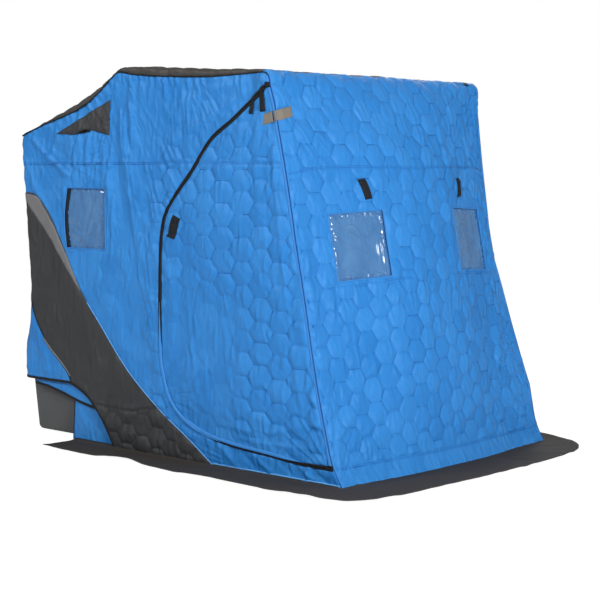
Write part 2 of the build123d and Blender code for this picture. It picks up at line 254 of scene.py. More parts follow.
# ---- small maths for cloth
def lattice(low, high, step, origin):
    row = step * math.sqrt(3) / 2
    for j in range(math.floor((low[1] - origin[1]) / row), math.ceil((high[1] - origin[1]) / row) + 1):
        first, last = math.floor((low[0] - origin[0]) / step) - 1, math.ceil((high[0] - origin[0]) / step) + 1
        yield origin[1] + j * row, origin[0] + (np.arange(first, last) + (j % 2) / 2) * step


def nearest(path, points):  # for each point: distance to the line, and the length along it
    tree = kdtree.KDTree(len(path))
    for i, (x, y) in enumerate(path):
        tree.insert((x, y, 0), i)
    tree.balance()
    found = np.array([tree.find((x, y, 0))[1] for x, y in points], int)
    best = np.full(len(points), 1e9)
    for other in (np.maximum(found - 1, 0), np.minimum(found + 1, len(path) - 1)):
        a, b = path[found], path[other]
        run = b - a
        t = np.clip(((points - a) * run).sum(1) / np.maximum((run ** 2).sum(1), 1e-18), 0, 1)
        best = np.minimum(best, np.linalg.norm(points - a - run * t[:, None], axis=1))
    return best, lengths(path)[found]


def insideOf(rings, points):
    odd = np.zeros(len(points), bool)
    for r in rings:
        n = np.roll(r, -1, 0)
        for a in range(0, len(points), 4000):
            q = points[a:a + 4000]
            x, y = q[:, :1], q[:, 1:]
            up = (r[:, 1] > y) != (n[:, 1] > y)
            tall = np.where(n[:, 1] == r[:, 1], 1, n[:, 1] - r[:, 1])
            cut = r[:, 0] + (y - r[:, 1]) * (n[:, 0] - r[:, 0]) / tall
            odd[a:a + 4000] ^= (up & (x < cut)).sum(1) % 2 == 1
    return odd


def meshInside(rings, step, origin=(0, 0)):  # triangles on a lattice that fill the outline
    edge = np.vstack(rings)
    points = []
    for y, xs in lattice(edge.min(0), edge.max(0), step, origin):
        cuts = []
        for r in rings:
            n = np.roll(r, -1, 0)
            hit = (r[:, 1] > y) != (n[:, 1] > y)
            cuts.append(r[hit, 0] + (y - r[hit, 1]) * (n[hit, 0] - r[hit, 0]) / (n[hit, 1] - r[hit, 1]))
        xs = xs[np.searchsorted(np.sort(np.concatenate(cuts)), xs) % 2 == 1]
        points.append(np.column_stack([xs, np.full(len(xs), y)]))
    points = np.vstack(points)
    if len(points):
        distance = nearest(edge, points)[0]
        points = points[distance > 0.5 * step]
    every = np.vstack([edge, points])
    lines, start = [], 0
    for r in rings:
        lines += [(start + i, start + (i + 1) % len(r)) for i in range(len(r))]
        start += len(r)
    made = geometry.delaunay_2d_cdt([Vector(p) for p in every], lines, [], 1, 1e-7)
    back = [ids[0] for ids in made[3]]
    faces = np.array([[back[i] for i in f] for f in made[2]], int)
    loose = (faces < len(edge)).all(1)
    keep = np.ones(len(faces), bool)
    keep[loose] = insideOf(rings, every[faces[loose]].mean(1))
    faces = faces[keep]
    a, b, c = every[faces[:, 0]], every[faces[:, 1]], every[faces[:, 2]]
    area = (b[:, 0] - a[:, 0]) * (c[:, 1] - a[:, 1]) - (b[:, 1] - a[:, 1]) * (c[:, 0] - a[:, 0])
    faces[area < 0] = faces[area < 0][:, ::-1]
    return every, faces[np.abs(area) > 1e-12], np.abs(area).sum() / 2


def waves(p, size, seed, stretch=1.0, angle=0.0):  # smooth random height between -1 and 1
    turn = math.radians(angle)
    x = (p[:, 0] * math.cos(turn) + p[:, 1] * math.sin(turn)) / (size * stretch) + 900
    y = (p[:, 1] * math.cos(turn) - p[:, 0] * math.sin(turn)) / size + 900
    grid = np.random.default_rng(seed).uniform(-1, 1, (64, 64))
    i, j = np.floor(x).astype(int), np.floor(y).astype(int)
    fx, fy = x - i, y - j
    fx, fy = fx ** 3 * (fx * (fx * 6 - 15) + 10), fy ** 3 * (fy * (fy * 6 - 15) + 10)
    g = [grid[(i + a) % 64, (j + b) % 64] for a, b in ((0, 0), (1, 0), (0, 1), (1, 1))]
    return (g[0] * (1 - fx) + g[1] * fx) * (1 - fy) + (g[2] * (1 - fx) + g[3] * fx) * fy


def chance(i, j, seed):  # a fixed random number from 0 to 1 for each cell
    v = np.sin(i * 127.1 + j * 311.7 + seed * 74.7) * 43758.5453
    return v - np.floor(v)


def quilt(p, origin, seed):  # the sewn hexagons' height, distance to a sewn line, and a shade for each cell
    side = quilting["side"]
    wide, tall = 3 * side, math.sqrt(3) * side
    best = None
    drift = np.column_stack([waves(p, 0.21, seed + 8), waves(p, 0.18, seed + 9)]) * 0.009
    p = p + drift
    for k in (0, 1):
        q = p - np.array(origin) - np.array([wide / 2, tall / 2]) * k
        i, j = np.round(q[:, 0] / wide), np.round(q[:, 1] / tall)
        d = q - np.column_stack([i * wide, j * tall])
        slant, rise = d[:, 0] * math.sqrt(3) / 2, d[:, 1] / 2
        reach = [np.abs(d[:, 1]), np.abs(slant + rise), np.abs(slant - rise)]
        far = sum(r ** 20 for r in reach) ** 0.05  # a hexagon with slightly rounded corners
        new = [far, i * 2 + k, j * 2 + k, d[:, 0], d[:, 1]]
        best = new if best is None else [np.where(far < best[0], n, b) for n, b in zip(new, best)]
    far, i, j, dx, dy = best
    line = np.maximum(tall / 2 - far, 0)
    inner = 1 - np.exp(-line / 0.008)
    r = [chance(i, j, seed + k) for k in range(5)]
    height = quilting["groove"] * (1 - np.exp(-line / 0.0045)) * (0.85 + 0.45 * waves(p, 0.07, seed + 7))
    height += quilting["dome"] * (1 - (far / (tall / 2)) ** 2) * (0.4 + 1.2 * r[0])
    height += inner * (dx * (r[1] - 0.5) + dy * (r[2] - 0.95)) * 0.05
    lean = np.where(r[4] > 0.5, 1, -1)
    crease = np.exp(-((dx * 0.7 + dy * 0.7 * lean - (r[1] - 0.5) * 0.03) / 0.006) ** 2)
    height -= (r[3] > 0.72) * inner * crease * 0.0016
    lit = np.clip(0.5 - (dy * 0.85 + np.abs(dx) * 0.1) / 0.06, 0, 1)  # one along a cell's lower edge, where the painted shade of the sewn line is made fainter, as under light from above
    # the distance grows along lower edges, so the painted shade of the lines falls on the cells' upper edges
    return height, line + 0.0024 * lit, r[4]


def foldHeight(p, folds):  # listed folds: each has its line, its half width and its height
    height = np.zeros(len(p))
    for points, width, tall in folds:
        path = evenly(smoothCurve(points), 0.004)
        low, high = path.min(0) - 3 * width, path.max(0) + 3 * width
        near = np.flatnonzero(((p > low) & (p < high)).all(1))
        if len(near):
            d, at = nearest(path, p[near])
            end = lengths(path)[-1]
            height[near] += tall * bell(d, width) * np.sin(np.clip(at / end, 0.03, 0.97) * math.pi) ** 0.6
    return height


def clothHeight(p, rings, look):  # everything that lifts or sinks a panel's face
    seed, pucker = look["seed"], look.get("pucker", 0.0016)
    d, along = nearest(np.vstack(rings), p)
    quilted = look.get("quilted", lambda q: 1)(p)
    h, line, shade = quilt(p / np.array(look.get("stretch", (1, 1))), look["origin"], seed)
    h = h * quilted
    line = line + (1 - quilted) * 0.0042
    gate = 1 - 0.75 * bell(d, 0.012)
    for path, width in look.get("seams", []):
        near, at = nearest(evenly(path, 0.004), p)
        gate = np.minimum(gate, 1 - 0.9 * bell(near, width))
        h += pucker * waves(np.column_stack([at, near * 0.15]), 0.028, seed + 5) * np.exp(-near / 0.03)
        line = np.where(near < width, noStitch, line)
    line = np.where(d < 0.008, noStitch, line)
    h = h * gate - 0.0015 * bell(d, 0.006)
    drawn = waves(np.column_stack([along, d * 0.15]), 0.03, seed + 4)
    h += pucker * drawn * np.exp(-d / 0.03) * (1 - np.exp(-d / 0.004))
    for path, reach, tall, size in look.get("gathers", []):
        near, at = nearest(evenly(path, 0.004), p)
        pleats = waves(np.column_stack([at + 0.1 * near, near * 0.22]), size, seed + 15)
        patchy = 0.6 + 0.6 * waves(p, 0.2, seed + 16)
        h += tall * pleats * np.exp(-((near / reach) ** 1.5)) * (1 - np.exp(-near / 0.006)) * patchy
    h += look.get("slack", 0.004) * waves(p, 0.3, seed + 1, 1.5, 80) * ease(d, 0, 0.15)
    fine = 0.0008 * waves(p, 0.026, seed + 3, 2.5, 100) * gate
    h += 0.0016 * waves(p, 0.05, seed + 2, 2.2, 25) * gate + fine
    worn = look.get("creased", lambda q: 0.25)(p) * gate
    for size, angle, tall in ((0.075, 96, 0.0042), (0.045, 78, 0.0026), (0.06, 20, 0.0018)):
        crease = 1 - np.abs(waves(p, size, seed + 6 + angle, 3.2 if angle > 50 else 1.8, angle))
        h -= worn * tall * crease ** 4
    for centre, aim, spread, (start, end), tall, size in look.get("fans", []):  # creases from a point
        q, wide = p - np.array(centre), math.radians(spread)
        far = np.hypot(q[:, 0], q[:, 1])
        turn = (np.arctan2(q[:, 0], -q[:, 1]) - math.radians(aim) + math.pi) % (2 * math.pi) - math.pi
        ridge = 1 - np.abs(waves(np.column_stack([turn * 0.5, far * 0.13]), size, seed + 221 + int(aim)))
        reach = ease(far, start * 0.4, start) * (1 - ease(far, end * 0.6, end))
        reach = reach * (1 - ease(np.abs(turn), wide * 0.7, wide))
        h += tall * (ridge ** 2 - 0.4) * reach * ease(d, 0, 0.02)
    h += foldHeight(p, look.get("folds", [])) * ease(d, 0, 0.02)
    # the shade attribute is lowered by the look's painted shade
    return np.where(h < -0.004, -0.004 + (h + 0.004) * 0.35, h), line, shade - look.get("paintedShade", lambda q: 0)(p)


def plainCloth(height):  # cloth without quilting
    return height, np.full(len(height), plainSpots["stitch"]), np.full(len(height), plainSpots["shade"])


def bodyOf(name):
    return name.split("_")[0] + "_door" if "_door_" in name else "hut"


def makePiece(name, places, faces, materials, use, uv, spots):
    mesh = bpy.data.meshes.new(name)
    mesh.from_pydata(places.tolist(), [], [list(map(int, f)) for f in faces])
    for m in materials:
        mesh.materials.append(m)
    mesh.polygons.foreach_set("use_smooth", [True] * len(mesh.polygons))
    if use is not None:
        mesh.polygons.foreach_set("material_index", [int(v) for v in use])
    corners = np.zeros(len(mesh.loops), int)
    mesh.loops.foreach_get("vertex_index", corners)
    mesh.uv_layers.new(name="cloth").data.foreach_set("uv", np.array(uv, float)[corners].ravel())
    for key, values in (spots or {}).items():
        mesh.attributes.new(key, "FLOAT", "POINT").data.foreach_set("value", np.array(values, float))
    mesh.update()
    piece = bpy.data.objects.new(name, mesh)
    scene.collection.objects.link(piece)
    return piece


def place(name, made, body=None, slot=None, nodes=(), flip=False):  # a piece, or its mirror image
    places = np.array(made["places"], float)
    faces = made["faces"]
    if flip:
        places[:, 0] *= -1
        faces = [f[::-1] for f in faces]
    piece = makePiece(name, settled(places), faces, made["materials"], made.get("use"), made["uv"],
        made.get("spots"))
    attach(piece, body or bodyOf(name))
    if nodes:
        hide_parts(*nodes)
    return piece


def normalsOn(surface, p, turn):
    reach = 1e-4
    du = surface(p + [reach, 0]) - surface(p - [reach, 0])
    dv = surface(p + [0, reach]) - surface(p - [0, reach])
    n = np.cross(du, dv) * turn
    return n / np.linalg.norm(n, axis=1)[:, None]


def panel(rings, surface, look, turn, step=None, thickness=None, materials=None, twin=False):
    # a cloth panel: its face on a fine lattice, its lining on a coarse one or a twin of the face, and a rim
    step = step or quilting["step"]
    thickness = thickness or quilting["cloth"]
    outer, faces, area = meshInside(rings, step, look.get("origin", (0, 0)))
    inner, backs = (outer, faces) if twin else meshInside(rings, liningStep)[:2]
    height, line, shade = look.get("height", clothHeight)(outer, rings, look)
    behind = height - thickness if twin else np.full(len(inner), -1.2 * thickness)
    both = ((outer, height), (inner, behind))
    places = np.vstack([surface(q) + normalsOn(surface, q, turn) * h[:, None] for q, h in both])
    base, rims, start = len(outer), [], 0
    for r in rings:
        n = len(r)
        sense = (r[:, 0] * np.roll(r[:, 1], -1) - r[:, 1] * np.roll(r[:, 0], -1)).sum() > 0
        straight = (sense != (r is not rings[0])) == (turn > 0)
        for i in range(n):
            a, b = start + i, start + (i + 1) % n
            rims.append((a, a + base, b + base, b) if straight else (b, b + base, a + base, a))
        start += n
    front = [tuple(f) if turn > 0 else tuple(f[::-1]) for f in faces.tolist()]
    back = [tuple(i + base for i in (f[::-1] if turn > 0 else f)) for f in backs.tolist()]
    use = [0] * len(front) + [1 if len(materials) > 1 else 0] * len(back) + [0] * len(rims)
    spots = {key: np.r_[seen, np.full(len(inner), plainSpots[key])]
        for key, seen in zip(plainSpots, (line, shade))}
    made = {"places": places, "faces": front + back + rims, "uv": np.vstack([outer, inner]), "spots": spots}
    return {**made, "use": use, "materials": materials, "area": area,
        "size": np.ptp(np.vstack(rings), axis=0)}


def trim(path, surface, profile, turn, materials, step=0.012, lift=0.0, closed=False, share=None):
    # a tape, piping or binding: its cross section carried along a line on a surface
    path = evenly(path, step)
    if closed:
        path = path[:-1]
    run = (np.roll(path, -1, 0) - np.roll(path, 1, 0)) if closed else np.gradient(path, axis=0)
    run /= np.linalg.norm(run, axis=1)[:, None]
    across = np.column_stack([run[:, 1], -run[:, 0]])
    out = normalsOn(surface, path, turn)
    n, m = len(path), len(profile)
    lift = lift(path) if callable(lift) else np.full(n, lift)
    places, uv = [], []
    d = lengths(path)
    size = (share(path) if share else np.ones(n))[:, None]  # how much of its full width it has there
    for offset, high in profile:
        level = high * (0.4 + 0.6 * size[:, 0]) + lift
        places.append(surface(path + across * offset * size) + out * level[:, None])
        uv.append(np.column_stack([d, np.full(n, offset)]))
    places = np.stack(places, 1).reshape(-1, 3)
    uv = np.stack(uv, 1).reshape(-1, 2)
    faces = []
    for i in range(n if closed else n - 1):
        for k in range(m):
            a, b = i * m + k, i * m + (k + 1) % m
            c, e = ((i + 1) % n) * m + (k + 1) % m, ((i + 1) % n) * m + k
            faces.append((a, b, c, e))
    if not closed:
        faces += [tuple(range(m))[::-1], tuple((n - 1) * m + k for k in range(m))]
    a, b, c = (places[i] for i in faces[0][:3])
    centre = places[:m].mean(0)
    if np.dot(np.cross(b - a, c - a), (a + b) / 2 - centre) < 0:
        faces = [f[::-1] for f in faces]
    return {"places": places, "faces": faces, "materials": materials, "uv": uv}


def joined(*parts):  # several shapes as one piece
    out = {"places": [], "faces": [], "uv": [], "use": [], "materials": parts[0]["materials"]}
    out["spots"] = {key: [] for key in plainSpots}
    start = 0
    for part in parts:
        count = len(part["places"])
        out["places"].append(part["places"])
        out["faces"] += [tuple(int(i) + start for i in f) for f in part["faces"]]
        out["uv"].append(part["uv"])
        out["use"] += list(part.get("use") or [0] * len(part["faces"]))
        for key, plain in plainSpots.items():
            out["spots"][key] += list(part.get("spots", {}).get(key, np.full(count, plain)))
        start += count
    out["places"], out["uv"] = np.vstack(out["places"]), np.vstack(out["uv"])
    return out


def roundProfile(radius, sink=0.0):
    return [(radius * math.cos(a), radius * math.sin(a) - sink)
        for a in np.linspace(0, 2 * math.pi, 8, endpoint=False)]


def flatProfile(width, height, sink=0.002):  # a woven tape with rounded long edges
    w = width / 2
    return [(-w, -sink), (-w, height * 0.5), (-w * 0.88, height), (0, height * 1.1), (w * 0.88, height),
        (w, height * 0.5), (w, -sink)]


# ---- materials
def linear(code):  # sRGB hex to the linear colour that a shader takes
    c = [int(code[i:i + 2], 16) / 255 for i in (1, 3, 5)]
    return (*[v / 12.92 if v <= 0.04045 else ((v + 0.055) / 1.055) ** 2.4 for v in c], 1.0)


def addNode(tree, kind, inputs, **fields):  # inputs are values, or the outputs of other nodes
    made = tree.nodes.new("ShaderNode" + kind)
    for key, value in fields.items():
        setattr(made, key, value)
    for key, value in inputs.items():
        if isinstance(value, bpy.types.NodeSocket):
            tree.links.new(value, made.inputs[key])
        else:
            made.inputs[key].default_value = value
    return made.outputs


def calc(tree, operation, *inputs):
    return addNode(tree, "Math", dict(enumerate(inputs)), operation=operation)[0]


def noise(tree, where, scale, detail, **more):
    return addNode(tree, "TexNoise", {"Vector": where, "Scale": scale, "Detail": detail, **more})["Fac"]


def bump(tree, strength, distance, height, **more):
    return addNode(tree, "Bump", {"Strength": strength, "Distance": distance, "Height": height, **more})[0]


def blend(tree, share, low, high):  # from one colour to another
    return addNode(tree, "Mix", {0: share, 6: low, 7: high}, data_type="RGBA")[2]


def clothUv(tree):
    return addNode(tree, "UVMap", {}, uv_map="cloth")[0]


def newMaterial(name, colour, rough, values):
    material = bpy.data.materials.new(name)
    material.use_nodes = True
    shader = material.node_tree.nodes["Principled BSDF"]
    for key, value in {"Base Color": linear(colour), "Roughness": rough, **values}.items():
        shader.inputs[key].default_value = value
    return material, material.node_tree, shader


def dress(tree, shader, **outputs):  # links outputs to the shader: colour and normal
    for key, name in (("colour", "Base Color"), ("normal", "Normal")):
        if key in outputs:
            tree.links.new(outputs[key], shader.inputs[name])


def weave(tree, thread, strength, crinkle=0.0):  # plain weave bump from the piece's own cloth coordinates
    uv = clothUv(tree)
    parts = addNode(tree, "SeparateXYZ", {0: uv})
    ribs = [calc(tree, "SINE", calc(tree, "MULTIPLY", parts[k], 2 * math.pi / thread)) for k in (0, 1)]
    threads = bump(tree, strength, 0.0004, calc(tree, "MULTIPLY", *ribs))
    soft = bump(tree, strength * 1.2, 0.0016, noise(tree, uv, 90.0, 3.0, Roughness=0.6), Normal=threads)
    if not crinkle:
        return soft
    drawn = addNode(tree, "Mapping", {"Vector": uv, "Scale": (1.0, 0.4, 1.0), "Rotation": (0, 0, -0.2)})[0]
    ridges = {"Vector": drawn, "Scale": 22.0, "Detail": 4.0, "Roughness": 0.6, "Distortion": 0.5}
    creases = addNode(tree, "TexNoise", ridges, noise_type="RIDGED_MULTIFRACTAL")["Fac"]
    return bump(tree, crinkle, 0.017, creases, Normal=soft)


def quiltedCloth(name, colour, dark, rough, tint):
    # 600-denier polyester Oxford over batting: satin face; sewn lines sink, and painted shade darkens them
    satin = {"Specular Tint": linear(tint), "Specular IOR Level": 0.4}
    material, tree, shader = newMaterial(name, colour, rough, satin)
    stitch, shade = (addNode(tree, "Attribute", {}, attribute_name=key)["Fac"] for key in plainSpots)
    edges = {"From Min": 0.0002, "From Max": 0.0044, "To Min": 0.75, "To Max": 0.0}
    # painted shade: the colour darkens towards dark[1] along the sewn lines
    groove = addNode(tree, "MapRange", {"Value": stitch, **edges}, interpolation_type="SMOOTHSTEP")[0]
    both = calc(tree, "ADD", noise(tree, clothUv(tree), 2.2, 2.0), shade)
    tone = blend(tree, calc(tree, "MULTIPLY_ADD", both, 0.5, 0.0), linear(dark[0]), linear(colour))
    normal = weave(tree, 0.0022, 0.25, 0.6)  # real threads are 0.5 mm apart; drawn at 2.2 mm to show
    dress(tree, shader, colour=blend(tree, groove, tone, linear(dark[1])), normal=normal)
    return material


def wovenTape(name, colour, rough, thread=0.0016, strength=0.5):
    # woven polyester tape: matt, with a rib across it
    material, tree, shader = newMaterial(name, colour, rough, {"Specular IOR Level": 0.2})
    dress(tree, shader, normal=weave(tree, thread, strength))
    return material


def mouldedPlastic(name, colour, worn, rough, grain, distance):
    # moulded plastic: fine even grain, a little paler where it has rubbed
    material, tree, shader = newMaterial(name, colour, rough, {"Specular IOR Level": 0.45})
    where = addNode(tree, "TexCoord", {})["Object"]
    rubbed = noise(tree, where, 6.0, 5.0, Roughness=0.65)
    fine = bump(tree, 0.35, distance, noise(tree, where, grain, 4.0))
    dress(tree, shader, colour=blend(tree, rubbed, linear(colour), linear(worn)), normal=fine)
    return material


# each cloth's second dark colour is the painted shade in its sewn lines
blueCloth = quiltedCloth("quiltedBlueOxford", "#347FC4", ("#226DB2", "#0E4484"), 0.46, "#A6D0F8")
blackCloth = quiltedCloth("quiltedCharcoalOxford", "#303133", ("#27282A", "#131416"), 0.6, "#FFFFFF")
roofCloth = quiltedCloth("coatedRoofOxford", "#3B3836", ("#31302F", "#232221"), 0.55, "#FFFFFF")
lining = wovenTape("polyesterLining", "#5F7286", 0.8, 0.003, 0.2)
skirtCloth = wovenTape("coatedSkirtCloth", "#383431", 0.8, 0.003, 0.3)
webbing = wovenTape("blackPolyesterBinding", "#16171A", 0.6)
navyPiping = wovenTape("navyPiping", "#0A4488", 0.7)
hingeCloth = wovenTape("blueHingeCloth", "#3A7FC6", 0.5, 0.0022, 0.3)
welt = wovenTape("blueSeamTape", "#347BC0", 0.5, 0.002, 0.3)
# its darker blue is painted shade in the seam's groove
seamShadeTape = wovenTape("seamTapeDarkenedAsShade", "#1F5FA3", 0.55, 0.002, 0.3)
paleBinding = wovenTape("paleBlueBinding", "#5E9FDC", 0.45, 0.002, 0.3)
reflective = wovenTape("greyReflectiveTape", "#6A6A6C", 0.42, 0.0014, 0.35)
patchTape = wovenTape("dustyReflectivePatch", "#726D64", 0.5, 0.0014, 0.35)
sliderNylon = mouldedPlastic("nylonZipperTeeth", "#141517", "#1D1E20", 0.35, 300.0, 0.0002)
sledPlastic = mouldedPlastic("rotomouldedPolyethylene", "#3E3F40", "#4A4B4C", 0.48, 260.0, 0.0007)
elbowPlastic = mouldedPlastic("mouldedNylon", "#1B1C1E", "#26272A", 0.42, 300.0, 0.0004)


def clearFilm(name, colour):
    # flexible clear PVC: glossy and crinkled, slightly milky; its pale patches are painted reflection
    gloss = {"Alpha": 0.78, "Specular IOR Level": 0.5, "Coat Weight": 0.3, "Coat Roughness": 0.06, "IOR": 1.5}
    material, tree, shader = newMaterial(name, colour, 0.12, gloss)
    drawn = {"Vector": clothUv(tree), "Scale": (1.0, 0.45, 1.0), "Rotation": (0, 0, 0.3)}
    drag = addNode(tree, "Mapping", drawn)[0]
    paleReflectionMottle = noise(tree, drag, 14.0, 4.0, Roughness=0.6, Distortion=0.6)
    tone = blend(tree, paleReflectionMottle, linear("#2E6299"), linear("#5F8FBF"))
    dress(tree, shader, colour=tone, normal=bump(tree, 0.4, 0.002, paleReflectionMottle))
    return material


def coatedSteel(name, colour, metal, rough):
    # square steel tube; the coat follows the drawn surface with a faint orange peel
    material, tree, shader = newMaterial(name, colour, rough, {"Metallic": metal})
    peel = noise(tree, addNode(tree, "TexCoord", {})["Object"], 180.0, 2.0)
    dress(tree, shader, normal=bump(tree, 0.25, 0.0004, peel))
    return material


film = clearFilm("clearVinylFilm", "#5E86AC")
tubePaint = coatedSteel("powderCoatedSteel", "#2A2B2E", 0.0, 0.4)
zincSteel = coatedSteel("zincPlatedSteel", "#A9ADB0", 1.0, 0.35)
finishes = (("sled_tub", sledPlastic), ("elbow", elbowPlastic), ("bracket", zincSteel), ("bow", tubePaint))
for name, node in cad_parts.items():
    finish = next((made for word, made in finishes if word in name), None)
    if finish:
        node.data.materials.clear()
        node.data.materials.append(finish)
print("materials made")

# ---- outlines on the side wall, (depth, height)
side = {
    "blackFront": [(2.345, 1.303), (2.236, 1.297), (2.143, 1.286), (2.06, 1.22), (1.99, 1.128),
        (1.917, 1.005), (1.799, 0.807), (1.63, 0.62), (1.428, 0.41), (1.195, 0.235), (0.98, 0.108),
        (0.811, 0.0)],
    "blackRear": [(2.35, 0.953), (2.24, 0.81), (2.178, 0.69), (2.11, 0.57), (2.02, 0.46), (1.94, 0.39),
        (1.895, 0.345), (1.87, 0.303)],
    "flap": [(1.87, 0.303), (1.80, 0.277), (1.727, 0.237), (1.66, 0.178), (1.6, 0.108), (1.56, 0.05),
        (1.527, 0.0)],
    "zipper": [(0.449, 1.809), (0.562, 1.74), (0.686, 1.655), (0.83, 1.562), (0.961, 1.411), (1.09, 1.28),
        (1.15, 1.2), (1.177, 1.1), (1.188, 0.9), (1.187, 0.56), (1.171, 0.43), (1.12, 0.295), (1.01, 0.2),
        (0.86, 0.143), (0.7, 0.117), (0.45, 0.099), (0.24, 0.084), (0.03, 0.086)],
    "hinge": 0.0166, "doorInset": 0.0085, "wallInset": 0.003,
    "window": (1.5945, 1.8995, 1.012, 1.324), "seam": 1.44,
}


def hingeY(z):  # depth of the line on which the door turns
    line = cornerDepth(z) + side["hinge"] + 0.008 * ease(z, 0.24, 0.1)
    return line + 0.003 * ease(z, 0.95, 1.3) + 0.004 * ease(z, 1.7, 1.84)


def upTo(path, keep):  # the part of a line where keep holds
    return path[keep(path)]


zipperLine = smoothCurve(side["zipper"])
doorEdge = aside(zipperLine, side["doorInset"])
doorEdge = upTo(doorEdge, lambda q: q[:, 0] > hingeY(q[:, 1]) + 0.001)
wallEdge = aside(zipperLine, -side["wallInset"])
wallEdge = upTo(wallEdge, lambda q: q[:, 0] > cornerDepth(q[:, 1]) + 0.002)
blackFront = smoothCurve(side["blackFront"])
blackFront = upTo(blackFront, lambda q: q[:, 0] < rearSide(q[:, 1]))
blackRear = smoothCurve(side["blackRear"])
blackRear = upTo(blackRear, lambda q: q[:, 0] < rearSide(q[:, 1]))
flapEdge = smoothCurve(side["flap"])


def seamPoint(t):  # where the roof's lip ends, as (depth, height) on the side wall
    lip = lipAt(t)
    (y, z), (ny, nz) = sectionPoint(t), sectionNormal(t)
    return np.column_stack([y - ny * lip, z - nz * lip])


def upright(depthAt, low, high, count=80):  # a line on the side wall between two heights
    z = np.linspace(low, high, count)
    return np.column_stack([depthAt(z), z])


def rearLine(low, high):  # rear edge of the side cloth
    return upright(rearSide, low, high, 60)


topSeam = seamPoint(np.linspace(tLipStart, tRearTop, 400))
wallStep = quilting["step"]
rearTopPoint = (rearSide(topSeam[-1, 1]), topSeam[-1, 1])
wallStart, wallEnd = (upright(cornerDepth, wallEdge[k, 1], wallEdge[k, 1], 1) for k in (0, -1))
blueRing = ring(
    upright(cornerDepth, wallEdge[-1, 1], 0),
    [(0, 0), tuple(blackFront[-1])],
    blackFront[::-1],
    np.vstack([blackFront[:1], rearLine(blackFront[0, 1], rearTopPoint[1])[1:]]),
    [rearTopPoint, tuple(topSeam[-1])],
    topSeam[::-1],
    upright(cornerDepth, topSeam[0, 1], wallEdge[0, 1]),
    np.vstack([wallStart, wallEdge, wallEnd]),
    step=wallStep,
)
near, far, low, high = side["window"]
windowRear = smoothCurve([(far, low), (far + 0.015, (low + high) / 2), (far - 0.006, high)])
windowRing = ring([(near, low), (far, low)], windowRear, [(far - 0.006, high), (near, high)],
    [(near, high), (near, low)], step=wallStep)
doorSeam = np.array([(cornerDepth(side["seam"]) + 0.02, side["seam"] + 0.01), (0.93, 1.452)])
wallSeam = np.array([(0.955, 1.452), (2.2, 1.448)])
zipperFoot = upTo(zipperLine, lambda q: (q[:, 1] < 0.3) & (q[:, 0] < 1.13))[::-1]


def underZipper(p):  # 1 on the plain strip below the door
    line = np.interp(p[:, 0], zipperFoot[:, 0], zipperFoot[:, 1])
    return ease(p[:, 1], line + 0.03, line) * (p[:, 0] < 1.13)


def sidePlain(p):  # where the wall's quilting is pulled flat: behind the door and under the roof
    return 0.82 * ease(p[:, 0], 1.16, 1.34) + 0.6 * ease(p[:, 1], 1.5, 1.62) + underZipper(p)


